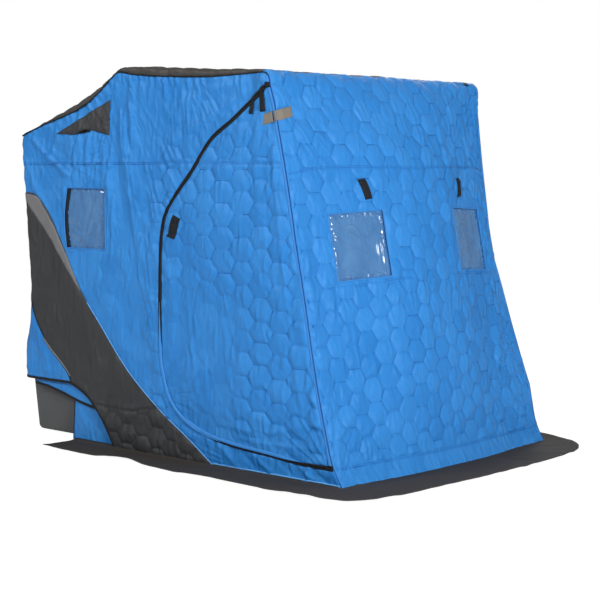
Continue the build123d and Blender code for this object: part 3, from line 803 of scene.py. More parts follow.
sideQuilt = {"stretch": (1.32, 1.03), "origin": (0.022, 0.031), "seed": 11, "slack": 0.011}
sideLook = {
    **sideQuilt, "pucker": 0.0026,
    "paintedShade": lambda p: 0.55 * underZipper(p) + 0.5 * ease(p[:, 0], 2.15, 2.3),  # painted shade: on the strip under the door, which turns down, and towards the rear corner
    "quilted": lambda p: 1 - np.clip(sidePlain(p), 0, 0.9),
    "creased": lambda p: 0.5 + 0.6 * ease(p[:, 0], 1.15, 1.35) + 0.4 * ease(p[:, 1], 1.45, 1.6),
    "fans": [
        ((1.49, 1.95), -6, 46, (0.12, 1.25), 0.008, 0.024), ((1.68, 1.93), 0, 32, (0.34, 0.75), 0.007, 0.026),
        ((2.24, 1.63), -45, 42, (0.05, 0.8), 0.006, 0.04),
        ((1.05, 2.0), -5, 50, (0.15, 0.55), 0.006, 0.024), ((0.6, 0.02), 90, 30, (0.2, 1.0), 0.004, 0.03),
        ((1.2, 0.5), 170, 30, (0.1, 0.6), 0.004, 0.03),
    ],
    "seams": [(doorSeam, 0.008), (wallSeam, 0.008)],
    "gathers": [
        (topSeam, 0.13, 0.01, 0.02), (wallEdge, 0.075, 0.008, 0.026),
        (np.array([(1.553, 1.768), (1.965, 1.603)]), 0.1, 0.005, 0.03),
    ],
    "folds": [
        ([(1.52, 1.84), (1.44, 1.5), (1.36, 1.1), (1.3, 0.75)], 0.03, 0.014),
        ([(1.46, 1.82), (1.38, 1.45), (1.29, 1.0)], 0.022, -0.008),
        ([(1.62, 1.56), (1.56, 1.3), (1.5, 1.0)], 0.03, 0.009),
        ([(1.95, 1.58), (2.05, 1.45), (2.13, 1.3)], 0.02, 0.007),
        ([(1.7, 1.58), (1.72, 1.5), (1.72, 1.36)], 0.016, 0.006),
        ([(1.82, 1.57), (1.85, 1.48), (1.88, 1.36)], 0.016, -0.005),
        ([(1.2, 1.25), (1.26, 1.0), (1.27, 0.6), (1.3, 0.35)], 0.03, 0.008),
        ([(0.5, 1.82), (0.72, 1.72), (0.95, 1.62), (1.2, 1.5)], 0.018, 0.006),
        ([(0.52, 1.84), (0.8, 1.8), (1.1, 1.72)], 0.02, 0.006),
        ([(0.9, 0.07), (1.1, 0.16), (1.3, 0.28), (1.5, 0.45)], 0.02, -0.005),
        ([(2.2, 1.6), (2.01, 1.467), (1.831, 1.361)], 0.02, 0.014),
        ([(2.13, 1.63), (1.96, 1.51), (1.79, 1.4)], 0.022, -0.011),
        ([(2.21, 1.45), (2.154, 1.336), (2.08, 1.18)], 0.018, 0.01),
        ([(2.16, 1.47), (2.1, 1.35), (2.02, 1.2)], 0.02, -0.008),
        ([(1.41, 1.87), (1.395, 1.7), (1.378, 1.45), (1.34, 1.25), (1.29, 1.0)], 0.03, 0.016),
        ([(1.53, 1.86), (1.515, 1.7), (1.503, 1.45), (1.47, 1.25), (1.42, 1.0)], 0.028, -0.014),
        ([(1.482, 1.86), (1.474, 1.65), (1.462, 1.45), (1.43, 1.2)], 0.009, 0.005),
        ([(1.45, 1.8), (1.437, 1.6), (1.42, 1.4), (1.38, 1.15)], 0.008, 0.004),
        ([(0.78, 0.112), (0.72, 0.07), (0.66, 0.02)], 0.014, 0.006),
        ([(0.64, 0.105), (0.58, 0.06), (0.52, 0.02)], 0.012, -0.006),
        ([(0.55, 0.1), (0.5, 0.06), (0.42, 0.015)], 0.012, 0.007),
        ([(0.4, 0.09), (0.34, 0.05), (0.28, 0.015)], 0.012, -0.005),
        ([(0.27, 0.08), (0.21, 0.04), (0.14, 0.01)], 0.012, 0.008),
        ([(0.2, 0.08), (0.15, 0.05), (0.09, 0.02)], 0.01, -0.006),
        ([(0.9, 0.14), (0.98, 0.12), (1.05, 0.14)], 0.016, 0.006),
    ],
}
hingeLine = upright(hingeY, 0.05, 1.84)
doorRing = ring(doorEdge, np.vstack([doorEdge[-1:], upright(hingeY, doorEdge[-1, 1], doorEdge[0, 1], 90)]),
    step=wallStep)


def doorPlain(p):  # where the door's quilting is pulled flat: at its head, its foot and its lower rear
    y, z = p[:, 0], p[:, 1]
    ends = 0.5 * ease(z, 1.5, 1.65) + 0.5 * ease(z, 0.26, 0.12)
    return ends + 0.75 * ease(y, 0.5, 0.8) * ease(z, 0.95, 0.6) + 0.25 * ease(y, 0.8, 1.1)


doorLook = {
    **sideQuilt, "pucker": 0.0024,
    "quilted": lambda p: 1 - np.clip(doorPlain(p), 0, 0.8),
    "fans": [
        ((0.43, 1.9), 12, 40, (0.1, 0.75), 0.006, 0.03), ((1.3, 1.3), -90, 30, (0.14, 0.4), 0.005, 0.03),
        ((0.02, 0.02), 130, 45, (0.05, 0.5), 0.006, 0.035),
        ((0.5, -0.06), 180, 50, (0.17, 0.42), 0.005, 0.03), ((1.3, 0.3), -110, 35, (0.15, 0.5), 0.005, 0.03),
    ],
    "creased": lambda p: 0.3 + 0.5 * ease(p[:, 1], 0.35, 0.12) + 0.3 * ease(p[:, 0], 0.9, 1.15),
    "seams": [(doorSeam, 0.008)],
    "gathers": [(doorEdge, 0.045, 0.0045, 0.03), (hingeLine, 0.06, 0.0065, 0.03)],
    "folds": [
        ([(0.47, 1.7), (0.42, 1.4), (0.36, 1.0), (0.3, 0.6), (0.22, 0.25)], 0.016, 0.006),
        ([(0.52, 1.68), (0.49, 1.4), (0.44, 1.05)], 0.014, -0.004),
        ([(0.3, 0.62), (0.45, 0.5), (0.65, 0.42)], 0.02, 0.004),
        ([(0.16, 0.3), (0.3, 0.24), (0.5, 0.2), (0.8, 0.22)], 0.016, 0.005),
        ([(0.12, 0.17), (0.4, 0.15), (0.7, 0.16)], 0.012, 0.004),
        ([(1.17, 1.05), (1.1, 0.8), (1.12, 0.5)], 0.03, 0.006),
        ([(0.9, 0.95), (0.86, 0.6), (0.8, 0.3)], 0.014, -0.004),
        ([(1.0, 0.9), (0.97, 0.6), (0.9, 0.3)], 0.014, 0.005),
        ([(0.75, 0.75), (0.7, 0.45), (0.62, 0.22)], 0.014, 0.004),
        ([(0.03, 0.9), (0.16, 0.84), (0.26, 0.83)], 0.012, 0.005),
        ([(0.03, 0.52), (0.14, 0.46), (0.22, 0.46)], 0.012, -0.005),
        ([(0.03, 0.34), (0.12, 0.28), (0.2, 0.27)], 0.012, 0.006),
    ],
}
blackRing = ring(
    blackFront,
    [tuple(blackFront[-1]), tuple(flapEdge[-1])],
    flapEdge[::-1],
    blackRear[::-1],
    np.vstack([blackRear[:1], rearLine(blackRear[0, 1], blackFront[0, 1])[1:-1], blackFront[:1]]),
    step=wallStep,
)
blackSeam = smoothCurve([(1.68, 0.212), (1.522, 0.208), (1.396, 0.205), (1.28, 0.235), (1.19, 0.245)])
blackLook = {
    "stretch": (1.2, 1.03), "origin": (0.022, 0.031), "seed": 23, "slack": 0.007, "creased": lambda p: 0.5,
    "quilted": lambda p: 1 - 0.92 * ease(p[:, 1], 0.2, 0.26),
    "seams": [(blackSeam, 0.01)],
    "folds": [
        ([(1.9, 0.9), (1.75, 0.6), (1.6, 0.35)], 0.05, 0.01),
        ([(2.05, 1.0), (1.95, 0.7), (1.9, 0.45)], 0.04, -0.008),
        ([(1.45, 0.75), (1.5, 0.5), (1.52, 0.3)], 0.03, 0.008),
        ([(1.35, 0.5), (1.38, 0.35), (1.36, 0.22)], 0.02, -0.006),
        ([(1.3, 0.14), (1.33, 0.07), (1.34, 0.01)], 0.014, 0.006),
        ([(1.2, 0.15), (1.21, 0.08), (1.2, 0.01)], 0.014, -0.005),
        ([(1.45, 0.12), (1.46, 0.06), (1.45, 0.01)], 0.012, 0.005),
        ([(1.08, 0.14), (1.07, 0.07), (1.05, 0.01)], 0.012, 0.005),
    ],
}
rearFoot = 0.306  # height of the rear panel's lower edge
cornerRing = ring(
    blackRear[:-3],
    np.vstack([blackRear[-4:-3], [(1.876, rearFoot)]]),
    [(1.876, rearFoot), (float(rearSide(rearFoot)), rearFoot)],
    np.vstack([rearLine(rearFoot, blackRear[0, 1])[:-1], blackRear[:1]]),
    step=wallStep,
)
rearPanelLook = {
    "origin": (0.022, 0.031), "seed": 31, "slack": 0.006,
    "quilted": lambda p: 0.0, "creased": lambda p: 0.5,
    "folds": [
        ([(2.16, 0.6), (2.1, 0.45), (2.06, 0.32)], 0.025, 0.008),
        ([(2.3, 0.7), (2.26, 0.5), (2.24, 0.32)], 0.03, 0.008),
        ([(1.95, 0.36), (2.15, 0.35), (2.35, 0.36)], 0.014, 0.004),
    ],
}

blueLined, blackLined, roofLined = ([cloth, lining] for cloth in (blueCloth, blackCloth, roofCloth))
panels = {
    "side_wall": ([blueRing, windowRing], sideLook, blueLined, ["upper_panel", "door_sill", "window_panel"],
        "blue_cloth"),
    "door_cloth": ([doorRing], doorLook, blueLined, ["door"], "blue_cloth"),
    "black_cloth": ([blackRing], blackLook, blackLined, ["black_panel"], "charcoal_cloth"),
    "rear_corner_cloth": ([cornerRing], rearPanelLook, blueLined, ["rear_panel"], "blue_cloth"),
}
for key, (rings, look, materials, nodes, slotName) in panels.items():
    made = panel(rings, sideSurface, look, -1, materials=materials)
    for hand in ("left", "right"):
        name = f"{hand}_{key}"
        place(name, made, slot=slotName, nodes=[f"{hand}_{n}" for n in nodes],
            flip=hand == "right")
    print(key, "made,", len(made["faces"]), "faces")

# ---- front wall, roof and rear wall
front = {"windows": (0.281, 0.591, 0.921, 1.231), "hem": 0.082, "seam": 1.425, "tilt": 0.016}  # metres


def shellSides(low, high):  # the shell's edge between two lengths along it
    return upright(shellEdge, low, high, 120)


def mirrorRing(right):  # an outline from its right edge
    left = right[::-1] * [-1, 1]
    return ring([left[-1], right[0]], right, [right[-1], left[0]], left, step=wallStep)


def shellRing(low, high):
    return mirrorRing(shellSides(low, high))


def frontWindowRing(hand):
    a, b, lowZ, highZ = front["windows"]
    low, high = sectionWhere(height=lowZ), sectionWhere(height=highZ)
    a, b = (a, b) if hand > 0 else (-b, -a)
    return polygon([(x, t - front["tilt"] * (abs(x) > 0.5)) for x, t in block(a, low, b, high)], wallStep)


hemT, seamT = sectionWhere(height=front["hem"]), sectionWhere(height=front["seam"])
windowSeamT = sectionWhere(height=front["windows"][2] - 0.028)
seamSag = [(-0.79, -0.021), (-0.7, -0.008), (-0.58, 0.005), (-0.4, 0.009), (0, 0.006), (0.4, 0.009),
    (0.58, 0.005), (0.79, -0.012)]
frontSeams = [smoothCurve([(x, seamT + sag) for x, sag in seamSag]), np.array([(-0.8, hemT), (0.8, hemT)])]
underWindows = [np.array([(a, windowSeamT + b), (c, windowSeamT + d)])
                for a, b, c, d in ((-0.66, -0.01, -0.16, 0.019), (0.16, 0.019, 0.66, -0.006))]
frontLook = {
    "stretch": (1.06, 1.06), "origin": (0.012, 0.044), "seed": 3, "slack": 0.009, "pucker": 0.0028,
    "fans": [
        ((0.86, 1.9), -30, 40, (0.12, 0.9), 0.008, 0.03), ((0.86, 0.6), -90, 45, (0.1, 0.5), 0.008, 0.035),
        ((0.86, 0.0), -140, 40, (0.1, 0.7), 0.008, 0.035),
        ((-0.84, 1.94), 22, 35, (0.1, 0.6), 0.006, 0.03),
        ((-0.84, -0.02), 140, 40, (0.08, 0.55), 0.006, 0.035),
    ],
    "creased": lambda p: 0.4 + 0.9 * ease(p[:, 0], 0.25, 0.6) + 0.25 * ease(p[:, 0], -0.6, -0.78),
    "quilted": lambda p: 1 - 0.95 * ease(p[:, 1], hemT + 0.006, hemT - 0.004),
    "seams": [(p, 0.008) for p in frontSeams] + [(p, 0.006) for p in underWindows],
    "gathers": [
        (frontSeams[1], 0.05, 0.0075, 0.03), (shellSides(0.0, tRollEnd), 0.09, 0.008, 0.035),
        (shellSides(0.0, tRollEnd) * [-1, 1], 0.06, 0.0065, 0.03),
    ],
    "folds": [
        ([(0.62, 0.75), (0.66, 1.1), (0.64, 1.5)], 0.022, 0.009),
        ([(0.7, 0.6), (0.72, 1.0), (0.71, 1.4)], 0.018, -0.008),
        ([(0.52, 0.3), (0.6, 0.6), (0.66, 0.85)], 0.022, 0.008),
        ([(0.4, 0.25), (0.5, 0.55), (0.55, 0.8)], 0.022, -0.006),
        ([(-0.77, 0.5), (-0.76, 0.9), (-0.755, 1.3)], 0.014, 0.005),
        ([(-0.74, 1.45), (-0.735, 1.62), (-0.73, 1.8)], 0.016, 0.005),
        ([(0.2, 1.0), (0.22, 1.2), (0.2, 1.42)], 0.02, 0.005),
        ([(-0.78, 0.2), (-0.65, 0.3), (-0.5, 0.5)], 0.018, 0.005),
    ] + [  # slack cloth hangs in upright folds below the front bow
        ([(x, 1.87), (x + 0.016, 1.73), (x - 0.006, 1.6), (x + 0.008, 1.47)],
            0.009 + 0.004 * math.sin(3 * k) ** 2, 0.0045 + 0.0025 * math.sin(2 * k))
        for k, x in ((k, 0.08 + 0.046 * k + 0.015 * math.sin(5 * k)) for k in range(15))
    ],
}
roofLook = {
    "origin": (0.0, 0.0), "seed": 41, "slack": 0.007, "creased": lambda p: 0.4, "pucker": 0.004,
    "quilted": lambda p: 0.55,
    "folds": [
        ([(-0.7, tRollEnd + 0.1), (-0.2, tRollEnd + 0.4), (0.1, tRollEnd + 0.55)], 0.035, 0.009),
        ([(0.7, tRollEnd + 0.12), (0.25, tRollEnd + 0.45), (0.0, tRollEnd + 0.6)], 0.035, 0.008),
        ([(-0.7, tPeak - 0.12), (-0.3, tPeak - 0.35)], 0.03, 0.008),
        ([(0.7, tPeak - 0.15), (0.3, tPeak - 0.4)], 0.03, 0.008),
        ([(-0.7, tPeak + 0.1), (0.0, tPeak + 0.4), (0.7, tPeak + 0.15)], 0.03, 0.007),
    ],
}
rearLook = {
    "origin": (0.0, 0.03), "seed": 53, "slack": 0.008,
    "seams": [(np.array([(-0.76, tRearTop + 0.16), (0.76, tRearTop + 0.16)]), 0.011),
        (np.array([(-0.7, tRearFoot - 0.2), (0.7, tRearFoot - 0.2)]), 0.011)],
    "folds": [
        ([(-0.74, tRearTop + 0.03), (-0.5, tRearTop + 0.5), (-0.45, tRearTop + 0.9)], 0.03, 0.01),
        ([(0.74, tRearTop + 0.03), (0.5, tRearTop + 0.5), (0.45, tRearTop + 0.9)], 0.03, 0.01),
        ([(-0.6, tRearFoot - 0.25), (-0.2, tRearFoot - 0.35), (0.3, tRearFoot - 0.33),
            (0.62, tRearFoot - 0.24)], 0.03, 0.008),
    ],
}


def rearRing(low, high):
    def edge(t):
        z = sectionPoint(t)[1]
        return halfWidth(z) - table("rearCorner", z) - 0.001
    return mirrorRing(upright(edge, low, high, 120))


frontRings = [shellRing(0.0, tRollEnd), frontWindowRing(-1), frontWindowRing(1)]
shells = {
    "front_wall_cloth": (frontRings, frontLook, None, blueLined,
        ["front_hem", "front_wall_lower", "front_wall_upper"], "blue_cloth", "front_bow_tubes"),
    "roof_cloth": ([shellRing(tRollEnd, tPeak)], roofLook, 0.012, roofLined, ["roof_panel"], "charcoal_cloth",
        "front_bow_crossbar"),
    "rear_slope_cloth": ([shellRing(tPeak, tRearTop)], roofLook, 0.012, roofLined, ["rear_slope"],
        "charcoal_cloth", "rear_bow_crossbar"),
    "rear_wall_cloth": ([rearRing(tRearTop, tRearFoot)], rearLook, None, blueLined, ["rear_wall"],
        "blue_cloth", "rear_bow_tubes"),
}
for name, (rings, look, step, materials, nodes, slotName, rest) in shells.items():
    made = panel(rings, shellSurface, look, 1, step=step, materials=materials)
    place(name, made, body="hut", slot=slotName, nodes=nodes)
    print(name, "made,", len(made["faces"]), "faces")

# ---- seams, pipings and bindings; each profile is a list of (sideways, outward) points
flatSeam = [(-0.0062, -0.003), (-0.0056, 0.0014), (-0.0036, 0.0016), (-0.0026, -0.0008),
            (0.0026, -0.0006), (0.0036, 0.0022), (0.0056, 0.0018), (0.0062, -0.003)]
binding = [(-0.0065, 0.0), (-0.006, 0.0026), (0, 0.0036), (0.0065, 0.002), (0.0075, -0.004),
           (0.0065, -0.011), (0, -0.0125), (-0.006, -0.0115), (-0.0065, -0.008)]
rolledFoot = [(-0.0072, -0.0028), (-0.0076, 0.0012), (-0.006, 0.003), (-0.002, 0.0036), (0.004, 0.0024),
    (0.0085, 0.0008), (0.01, -0.0028)]
rolledEdge = [(-0.0075, -0.0028), (-0.0078, 0.0016), (-0.005, 0.0036), (0, 0.0042), (0.006, 0.0034),
    (0.01, 0.0012), (0.012, -0.0028)]
weltSide = [(0, -0.003), (0.0008, 0.0004), (0.005, 0.0012), (0.009, 0.0012), (0.013, 0.0004),
    (0.0138, -0.003)]
weltFront = [(-0.0068, -0.002), (-0.006, 0.0022), (-0.0035, 0.0026), (-0.002, 0.0012), (0.001, 0.0028),
    (0.0045, 0.003), (0.0062, 0.0018), (0.0066, -0.003)]
tapeDoor, tapeWall = flatProfile(0.0085, 0.0022, 0.003), flatProfile(0.0075, 0.0022, 0.003)


def reliefOf(rings, look):  # the cloth's height at points on it
    return lambda p: clothHeight(p, rings, look)[0]


def above(lift, amount):
    return lambda p: lift(p) + amount


def rimDistance(outline, p):
    return nearest(looped(outline), p)[0]


def thinCloth(outline, surface, turn, material, lift, step, thickness):  # plain cloth, the same on both faces
    look = {"height": lambda p, rings, look: plainCloth(lift(p))}
    return panel([outline], surface, look, turn, step=step, thickness=thickness, materials=[material],
        twin=True)


def smallPatch(corners, surface, turn, material, lift, thickness=0.0018, step=0.006, rounded=0.0):
    outline = polygon(corners, step)
    level = lift if callable(lift) else lambda p: lift
    face = lambda p: level(p) + 0.0016 - rounded * np.exp(-rimDistance(outline, p) / 0.004)
    return thinCloth(outline, surface, turn, material, face, step, thickness)


def sideTrim(path, profile, material, **more):
    return trim(path, sideSurface, profile, -1, [material], **more)


def sidePatch(corners, material, lift, thickness=0.0018, **more):
    return smallPatch(corners, sideSurface, -1, material, lift, thickness, **more)


def shellTrim(path, profile, material, **more):
    return trim(path, shellSurface, profile, 1, [material], **more)


def shellPatch(corners, material, lift, thickness=0.0018, **more):
    return smallPatch(corners, shellSurface, 1, material, lift, thickness, **more)


def tapeShare(q):  # the zipper shows least round its lower rear corner
    share = 1 - 0.4 * ease(q[:, 1], 0.62, 0.42) * (1 - ease(q[:, 0], 0.22, 0.1))
    return share - 0.12 * ease(q[:, 1], 0.3, 0.5)


def rolled(low, high):  # how much of a rolled edge there is along the zipper, by depth
    def share(q):
        begun, ended = ease(q[:, 0], low, low + 0.16), ease(q[:, 0], high, high + 0.12)
        return 0.04 + 0.96 * ease(q[:, 1], 0.78, 0.5) * begun * (1 - ended)
    return share


def rippled(level, tall, size, seed):
    return lambda q: level + tall * waves(q, size, seed)


zipperShown = upTo(zipperLine, lambda q: q[:, 0] > hingeY(q[:, 1]) + 0.009)


def toothRow(path, surface, turn, pitch, size, materials):  # teeth along a line, each a tapered block
    path = evenly(path, pitch)
    run = np.gradient(path, axis=0)
    run /= np.linalg.norm(run, axis=1)[:, None]
    across = np.column_stack([run[:, 1], -run[:, 0]])
    out = normalsOn(surface, path, turn)
    long, wide, high = size
    places, uv, faces = [], [], []
    for level, shrink in ((-0.001, 1.0), (high * 0.6, 1.0), (high, 0.6)):
        for a, b in ((-1, -1), (1, -1), (1, 1), (-1, 1)):
            spot = path + run * a * long / 2 * shrink + across * b * wide / 2 * shrink
            places.append(surface(spot) + out * level)
            uv.append(spot)
    places, uv = np.stack(places, 1).reshape(-1, 3), np.stack(uv, 1).reshape(-1, 2)
    belts = [(k + b, (k + 1) % 4 + b, (k + 1) % 4 + b + 4, k + b + 4) for b in (0, 4) for k in range(4)]
    sides = [f[::-1] if turn > 0 else f for f in (*belts, (8, 9, 10, 11), (3, 2, 1, 0))]
    for i in range(len(path)):
        faces += [tuple(v + 12 * i for v in f) for f in sides]
    return {"places": places, "faces": faces, "materials": materials, "uv": uv}


rearEdge = rearLine(rearFoot, 1.6)
bottomEdge = np.array([(1.872, rearFoot), (float(rearSide(rearFoot)) - 0.003, rearFoot)])
cornerSeam = upright(cornerDepth, 0.006, 1.846)
footEnd, headEnd = 0.0865, 1.806  # heights of the zipper's two ends
endY = float(hingeY(footEnd))
zipperOnWall = upTo(zipperLine, lambda q: q[:, 0] > cornerDepth(q[:, 1]) + 0.004)
zipperRear = upTo(zipperLine, lambda q: (q[:, 0] > 0.76) & (q[:, 1] < 0.78))
zipperBottom = upTo(zipperLine, lambda q: (q[:, 0] > 0.22) & (q[:, 0] < 1.1) & (q[:, 1] < 0.3))
doorLift = reliefOf([doorRing], doorLook)
wallLift = reliefOf([blueRing, windowRing], sideLook)
blackLift = reliefOf([blackRing], blackLook)
doorStop = [(endY + 0.008, 0.076), (endY + 0.02, 0.0765), (endY + 0.02, 0.0975), (endY + 0.008, 0.097)]
levelOnDoor = [(float(hingeY(1.45)) + 0.002, 1.4515), (0.9, 1.452)]
levelOnWall = [(0.95, 1.452), (1.6, 1.45), (float(rearSide(1.448)) - 0.004, 1.448)]
footLine = [(float(cornerDepth(0.014)) + 0.004, 0.014), (0.4, 0.014), (0.822, 0.013)]


def hingeShare(q):  # the hinge cloth reaches as far as the door's edge
    return (hingeY(q[:, 1]) - cornerDepth(q[:, 1]) - 0.0028) / 0.0138


def endPatch(z):  # covers the zipper's end from the corner seam to the door
    corners = block(cornerDepth(z) + 0.0015, z - 0.012, float(hingeY(z)) + 0.007, z + 0.013)
    return sidePatch(corners, webbing, 0.0014, step=0.004)


sideTrims = {  # the same on both sides
    "door_zipper_tape": joined(
        sideTrim(zipperShown, [(a + 0.0068, b) for a, b in tapeDoor], webbing, step=0.01, lift=0.0006),
        sidePatch(doorStop, webbing, 0.0012, 0.003, step=0.003),
        toothRow(aside(zipperShown, 0.0012), sideSurface, -1, 0.0042, (0.0028, 0.0038, 0.0028), [webbing])),
    "zipper_wall_tape": sideTrim(zipperOnWall, [(a - 0.0062, b) for a, b in tapeWall], webbing, step=0.01,
        lift=0.0006, share=tapeShare),
    "door_rolled_edge": joined(
        sideTrim(aside(zipperRear, 0.001), rolledEdge, welt, step=0.008,
            lift=rippled(0.0028, 0.0016, 0.03, 77), share=rolled(0.76, 2)),
        sideTrim(aside(zipperBottom, 0.0105), rolledFoot, welt, step=0.008,
            lift=rippled(0.0026, 0.0012, 0.03, 76), share=rolled(0.22, 0.95))),
    "zipper_ends": joined(endPatch(footEnd), endPatch(headEnd)),
    "door_level_seam": sideTrim(levelOnDoor, flatSeam, seamShadeTape, lift=doorLift),
    "wall_level_seam": sideTrim(levelOnWall, flatSeam, seamShadeTape, lift=wallLift),
    "corner_piping": sideTrim(cornerSeam, roundProfile(0.0024, -0.0002), navyPiping, step=0.01),
    "corner_welt": sideTrim(aside(cornerSeam, 0.0022), weltSide, hingeCloth, step=0.008, share=hingeShare),
    "panel_piping": sideTrim(upTo(blackFront, lambda q: q[:, 1] < 0.74), roundProfile(0.0024, 0.0004),
        paleBinding, step=0.01),
    "rear_panel_piping": sideTrim(blackRear, roundProfile(0.0024, 0.0008), webbing, step=0.01),
    "flap_binding": joined(sideTrim(flapEdge, binding, webbing, step=0.01),
        sideTrim(bottomEdge, binding, webbing, step=0.01)),
    "window_welt": sideTrim(looped(windowRing), roundProfile(0.003, 0.0012), welt, step=0.008, closed=True),
    "rear_corner_piping": sideTrim(rearEdge - [0.001, 0], roundProfile(0.0034), navyPiping, step=0.012),
    "foot_binding": sideTrim(footLine, roundProfile(0.0038, 0.0008), paleBinding, step=0.012),
    "panel_seam": sideTrim(blackSeam, flatSeam, blackCloth, lift=blackLift),
}
stripOuter = smoothCurve([(2.235, 1.292), (2.126, 1.274), (2.074, 1.222), (1.995, 1.125), (1.945, 1.045),
    (1.896, 0.965), (1.84, 0.87), (1.79, 0.79)])
stripInner = smoothCurve([(1.79, 0.788), (1.87, 0.872), (1.912, 0.917), (1.962, 0.976), (2.012, 1.044),
    (2.084, 1.118), (2.173, 1.206), (2.235, 1.27)])
rearStripOuter = smoothCurve([(2.085, 0.523), (2.038, 0.468), (1.944, 0.391), (1.88, 0.334)])
rearStripInner = smoothCurve([(1.875, 0.34), (1.936, 0.401), (2.03, 0.478), (2.08, 0.529)])
stripRings = [ring(a, b, [b[-1], a[0]], step=0.006)
    for a, b in ((stripOuter, stripInner), (rearStripOuter, rearStripInner))]
sideTrims["reflective_strip"] = joined(*[thinCloth(r, sideSurface, -1, reflective, above(blackLift, 0.002),
    0.012, 0.0016) for r in stripRings])


def bladeOf(size, bevel, spot, run, out):  # a bevelled block, laid along the zipper on the wall
    bpy.ops.object.select_all(action="DESELECT")
    bpy.ops.mesh.primitive_cube_add(size=1)
    blade = bpy.context.object
    blade.scale = size
    bpy.ops.object.transform_apply(location=False, rotation=False, scale=True)
    edge = blade.modifiers.new("edge", "BEVEL")
    edge.width, edge.segments = bevel, 2
    bpy.ops.object.modifier_apply(modifier="edge")
    return laidOn(blade, spot, run, out)


def hoopOf(major, minor, spot, run, out):  # a small wire hoop that stands on the slider
    bpy.ops.object.select_all(action="DESELECT")
    bpy.ops.mesh.primitive_torus_add(major_radius=major, minor_radius=minor, major_segments=20,
        minor_segments=8)
    hoop = bpy.context.object
    bpy.ops.object.mode_set(mode="EDIT")
    bpy.ops.mesh.select_all(action="SELECT")
    bpy.ops.transform.rotate(value=math.pi / 2, orient_axis="X", center_override=(0, 0, 0))
    bpy.ops.object.mode_set(mode="OBJECT")
    return laidOn(hoop, spot, run, out)


def laidOn(thing, spot, run, out):  # its mesh moved onto the wall, with its length along run
    across = np.cross(out, run)
    axes = np.column_stack([run, across, out])
    mesh = thing.data
    local = np.zeros(len(mesh.vertices) * 3)
    mesh.vertices.foreach_get("co", local)
    local = local.reshape(-1, 3)
    faces = [tuple(f.vertices) for f in mesh.polygons]
    made = {"places": local @ axes.T + spot, "faces": faces, "uv": local[:, :2], "materials": [sliderNylon]}
    bpy.data.objects.remove(thing)
    return made


def zipperSlider(at, lift):  # slider body, its two flanges and the wire hoop for the pull
    step = np.array([at, (at[0] + 0.001, at[1] - 0.0009)])  # a short step down along the zipper
    spots, out = sideSurface(step), normalsOn(sideSurface, step, -1)[0]
    run = spots[1] - spots[0]
    run = run - out * (run @ out)
    run /= np.linalg.norm(run)
    base = spots[0] + out * lift
    body = bladeOf((0.017, 0.012, 0.003), 0.0012, base, run, out)
    ridge = bladeOf((0.013, 0.005, 0.0032), 0.001, base + out * 0.0028, run, out)
    across, top = np.cross(out, run), base + out * 0.0022
    flanges = [bladeOf((0.015, 0.0018, 0.0026), 0.0006, top + across * shift, run, out)
        for shift in (-0.0056, 0.0056)]
    return joined(body, ridge, *flanges, hoopOf(0.0052, 0.0011, base + out * 0.0058, run, out))


def hangingPull(at, wide, long, lean):  # woven pull that hangs from the slider's hoop against the cloth
    y, z = at
    strap = [(-wide * 0.3, 0), (wide * 0.3, 0), (wide / 2 + lean, long * 0.25), (wide / 2 + lean * 2, long),
             (lean * 2 - wide / 2, long), (lean - wide / 2, long * 0.25)]
    label = [(-wide * 0.4 + lean * 1.6, long * 0.62), (wide * 0.4 + lean * 1.6, long * 0.62),
             (wide * 0.4 + lean * 2, long * 0.95), (-wide * 0.4 + lean * 2, long * 0.95)]
    return joined(
        sidePatch([(y + a, z - b) for a, b in strap], webbing, onDoorOrWall(0.0055), 0.0026, rounded=0.001),
        sidePatch([(y + a, z - b) for a, b in label], webbing, onDoorOrWall(0.0072), 0.0016))


def onDoorOrWall(amount):
    return lambda p: np.maximum(doorLift(p), wallLift(p)) + amount


zipperTop = smoothCurve(side["zipper"][:4])
zipperTop = upTo(zipperTop, lambda q: (q[:, 0] > hingeY(q[:, 1]) + 0.008) & (q[:, 0] < 0.56))
sideTrims["door_zipper_sliders"] = joined(zipperSlider((0.497, 1.781), 0.0045),
    zipperSlider((0.55, 1.748), 0.0045))
sideTrims["door_zipper_pulls"] = joined(hangingPull((0.492, 1.778), 0.03, 0.092, -0.001),
    hangingPull((0.552, 1.745), 0.02, 0.068, 0.008))
for key, shift, width in (("door_zipper_end", 0.0068, 0.0115), ("zipper_end_wall", -0.0062, 0.0105)):
    sideTrims[key] = sideTrim(aside(zipperTop, shift), flatProfile(width, 0.0028, 0.001), webbing, step=0.008,
        lift=0.0022)
doorTab = [(1.035, 1.182), (1.082, 1.201), (1.131, 1.095), (1.073, 1.083)]
doorTabLabel = [(1.046, 1.178), (1.076, 1.191), (1.085, 1.17), (1.056, 1.158)]
sideTrims["door_tab"] = joined(
    sidePatch(doorTab, webbing, above(doorLift, 0.003), 0.0024, rounded=0.0012),
    sidePatch(doorTabLabel, webbing, above(doorLift, 0.0048)))
ventMouth = smoothCurve([(1.965, 1.603), (1.88, 1.6), (1.8, 1.599), (1.765, 1.614), (1.715, 1.622),
    (1.64, 1.608), (1.565, 1.592)])
ventRing = ring(ventMouth, [(1.565, 1.592), (1.553, 1.768)], [(1.553, 1.768), (1.76, 1.688), (1.965, 1.603)],
    step=0.007)


def ventHeight(p):
    mouth = bell(p[:, 0] - 1.745, 0.04) * (1 - ease(p[:, 1], 1.61, 1.68))
    body = 0.006 * (1 - np.exp(-rimDistance(ventRing, p) / 0.02))
    return wallLift(p) + 0.0035 + body + 0.017 * mouth + 0.0012 * waves(p, 0.05, 71)
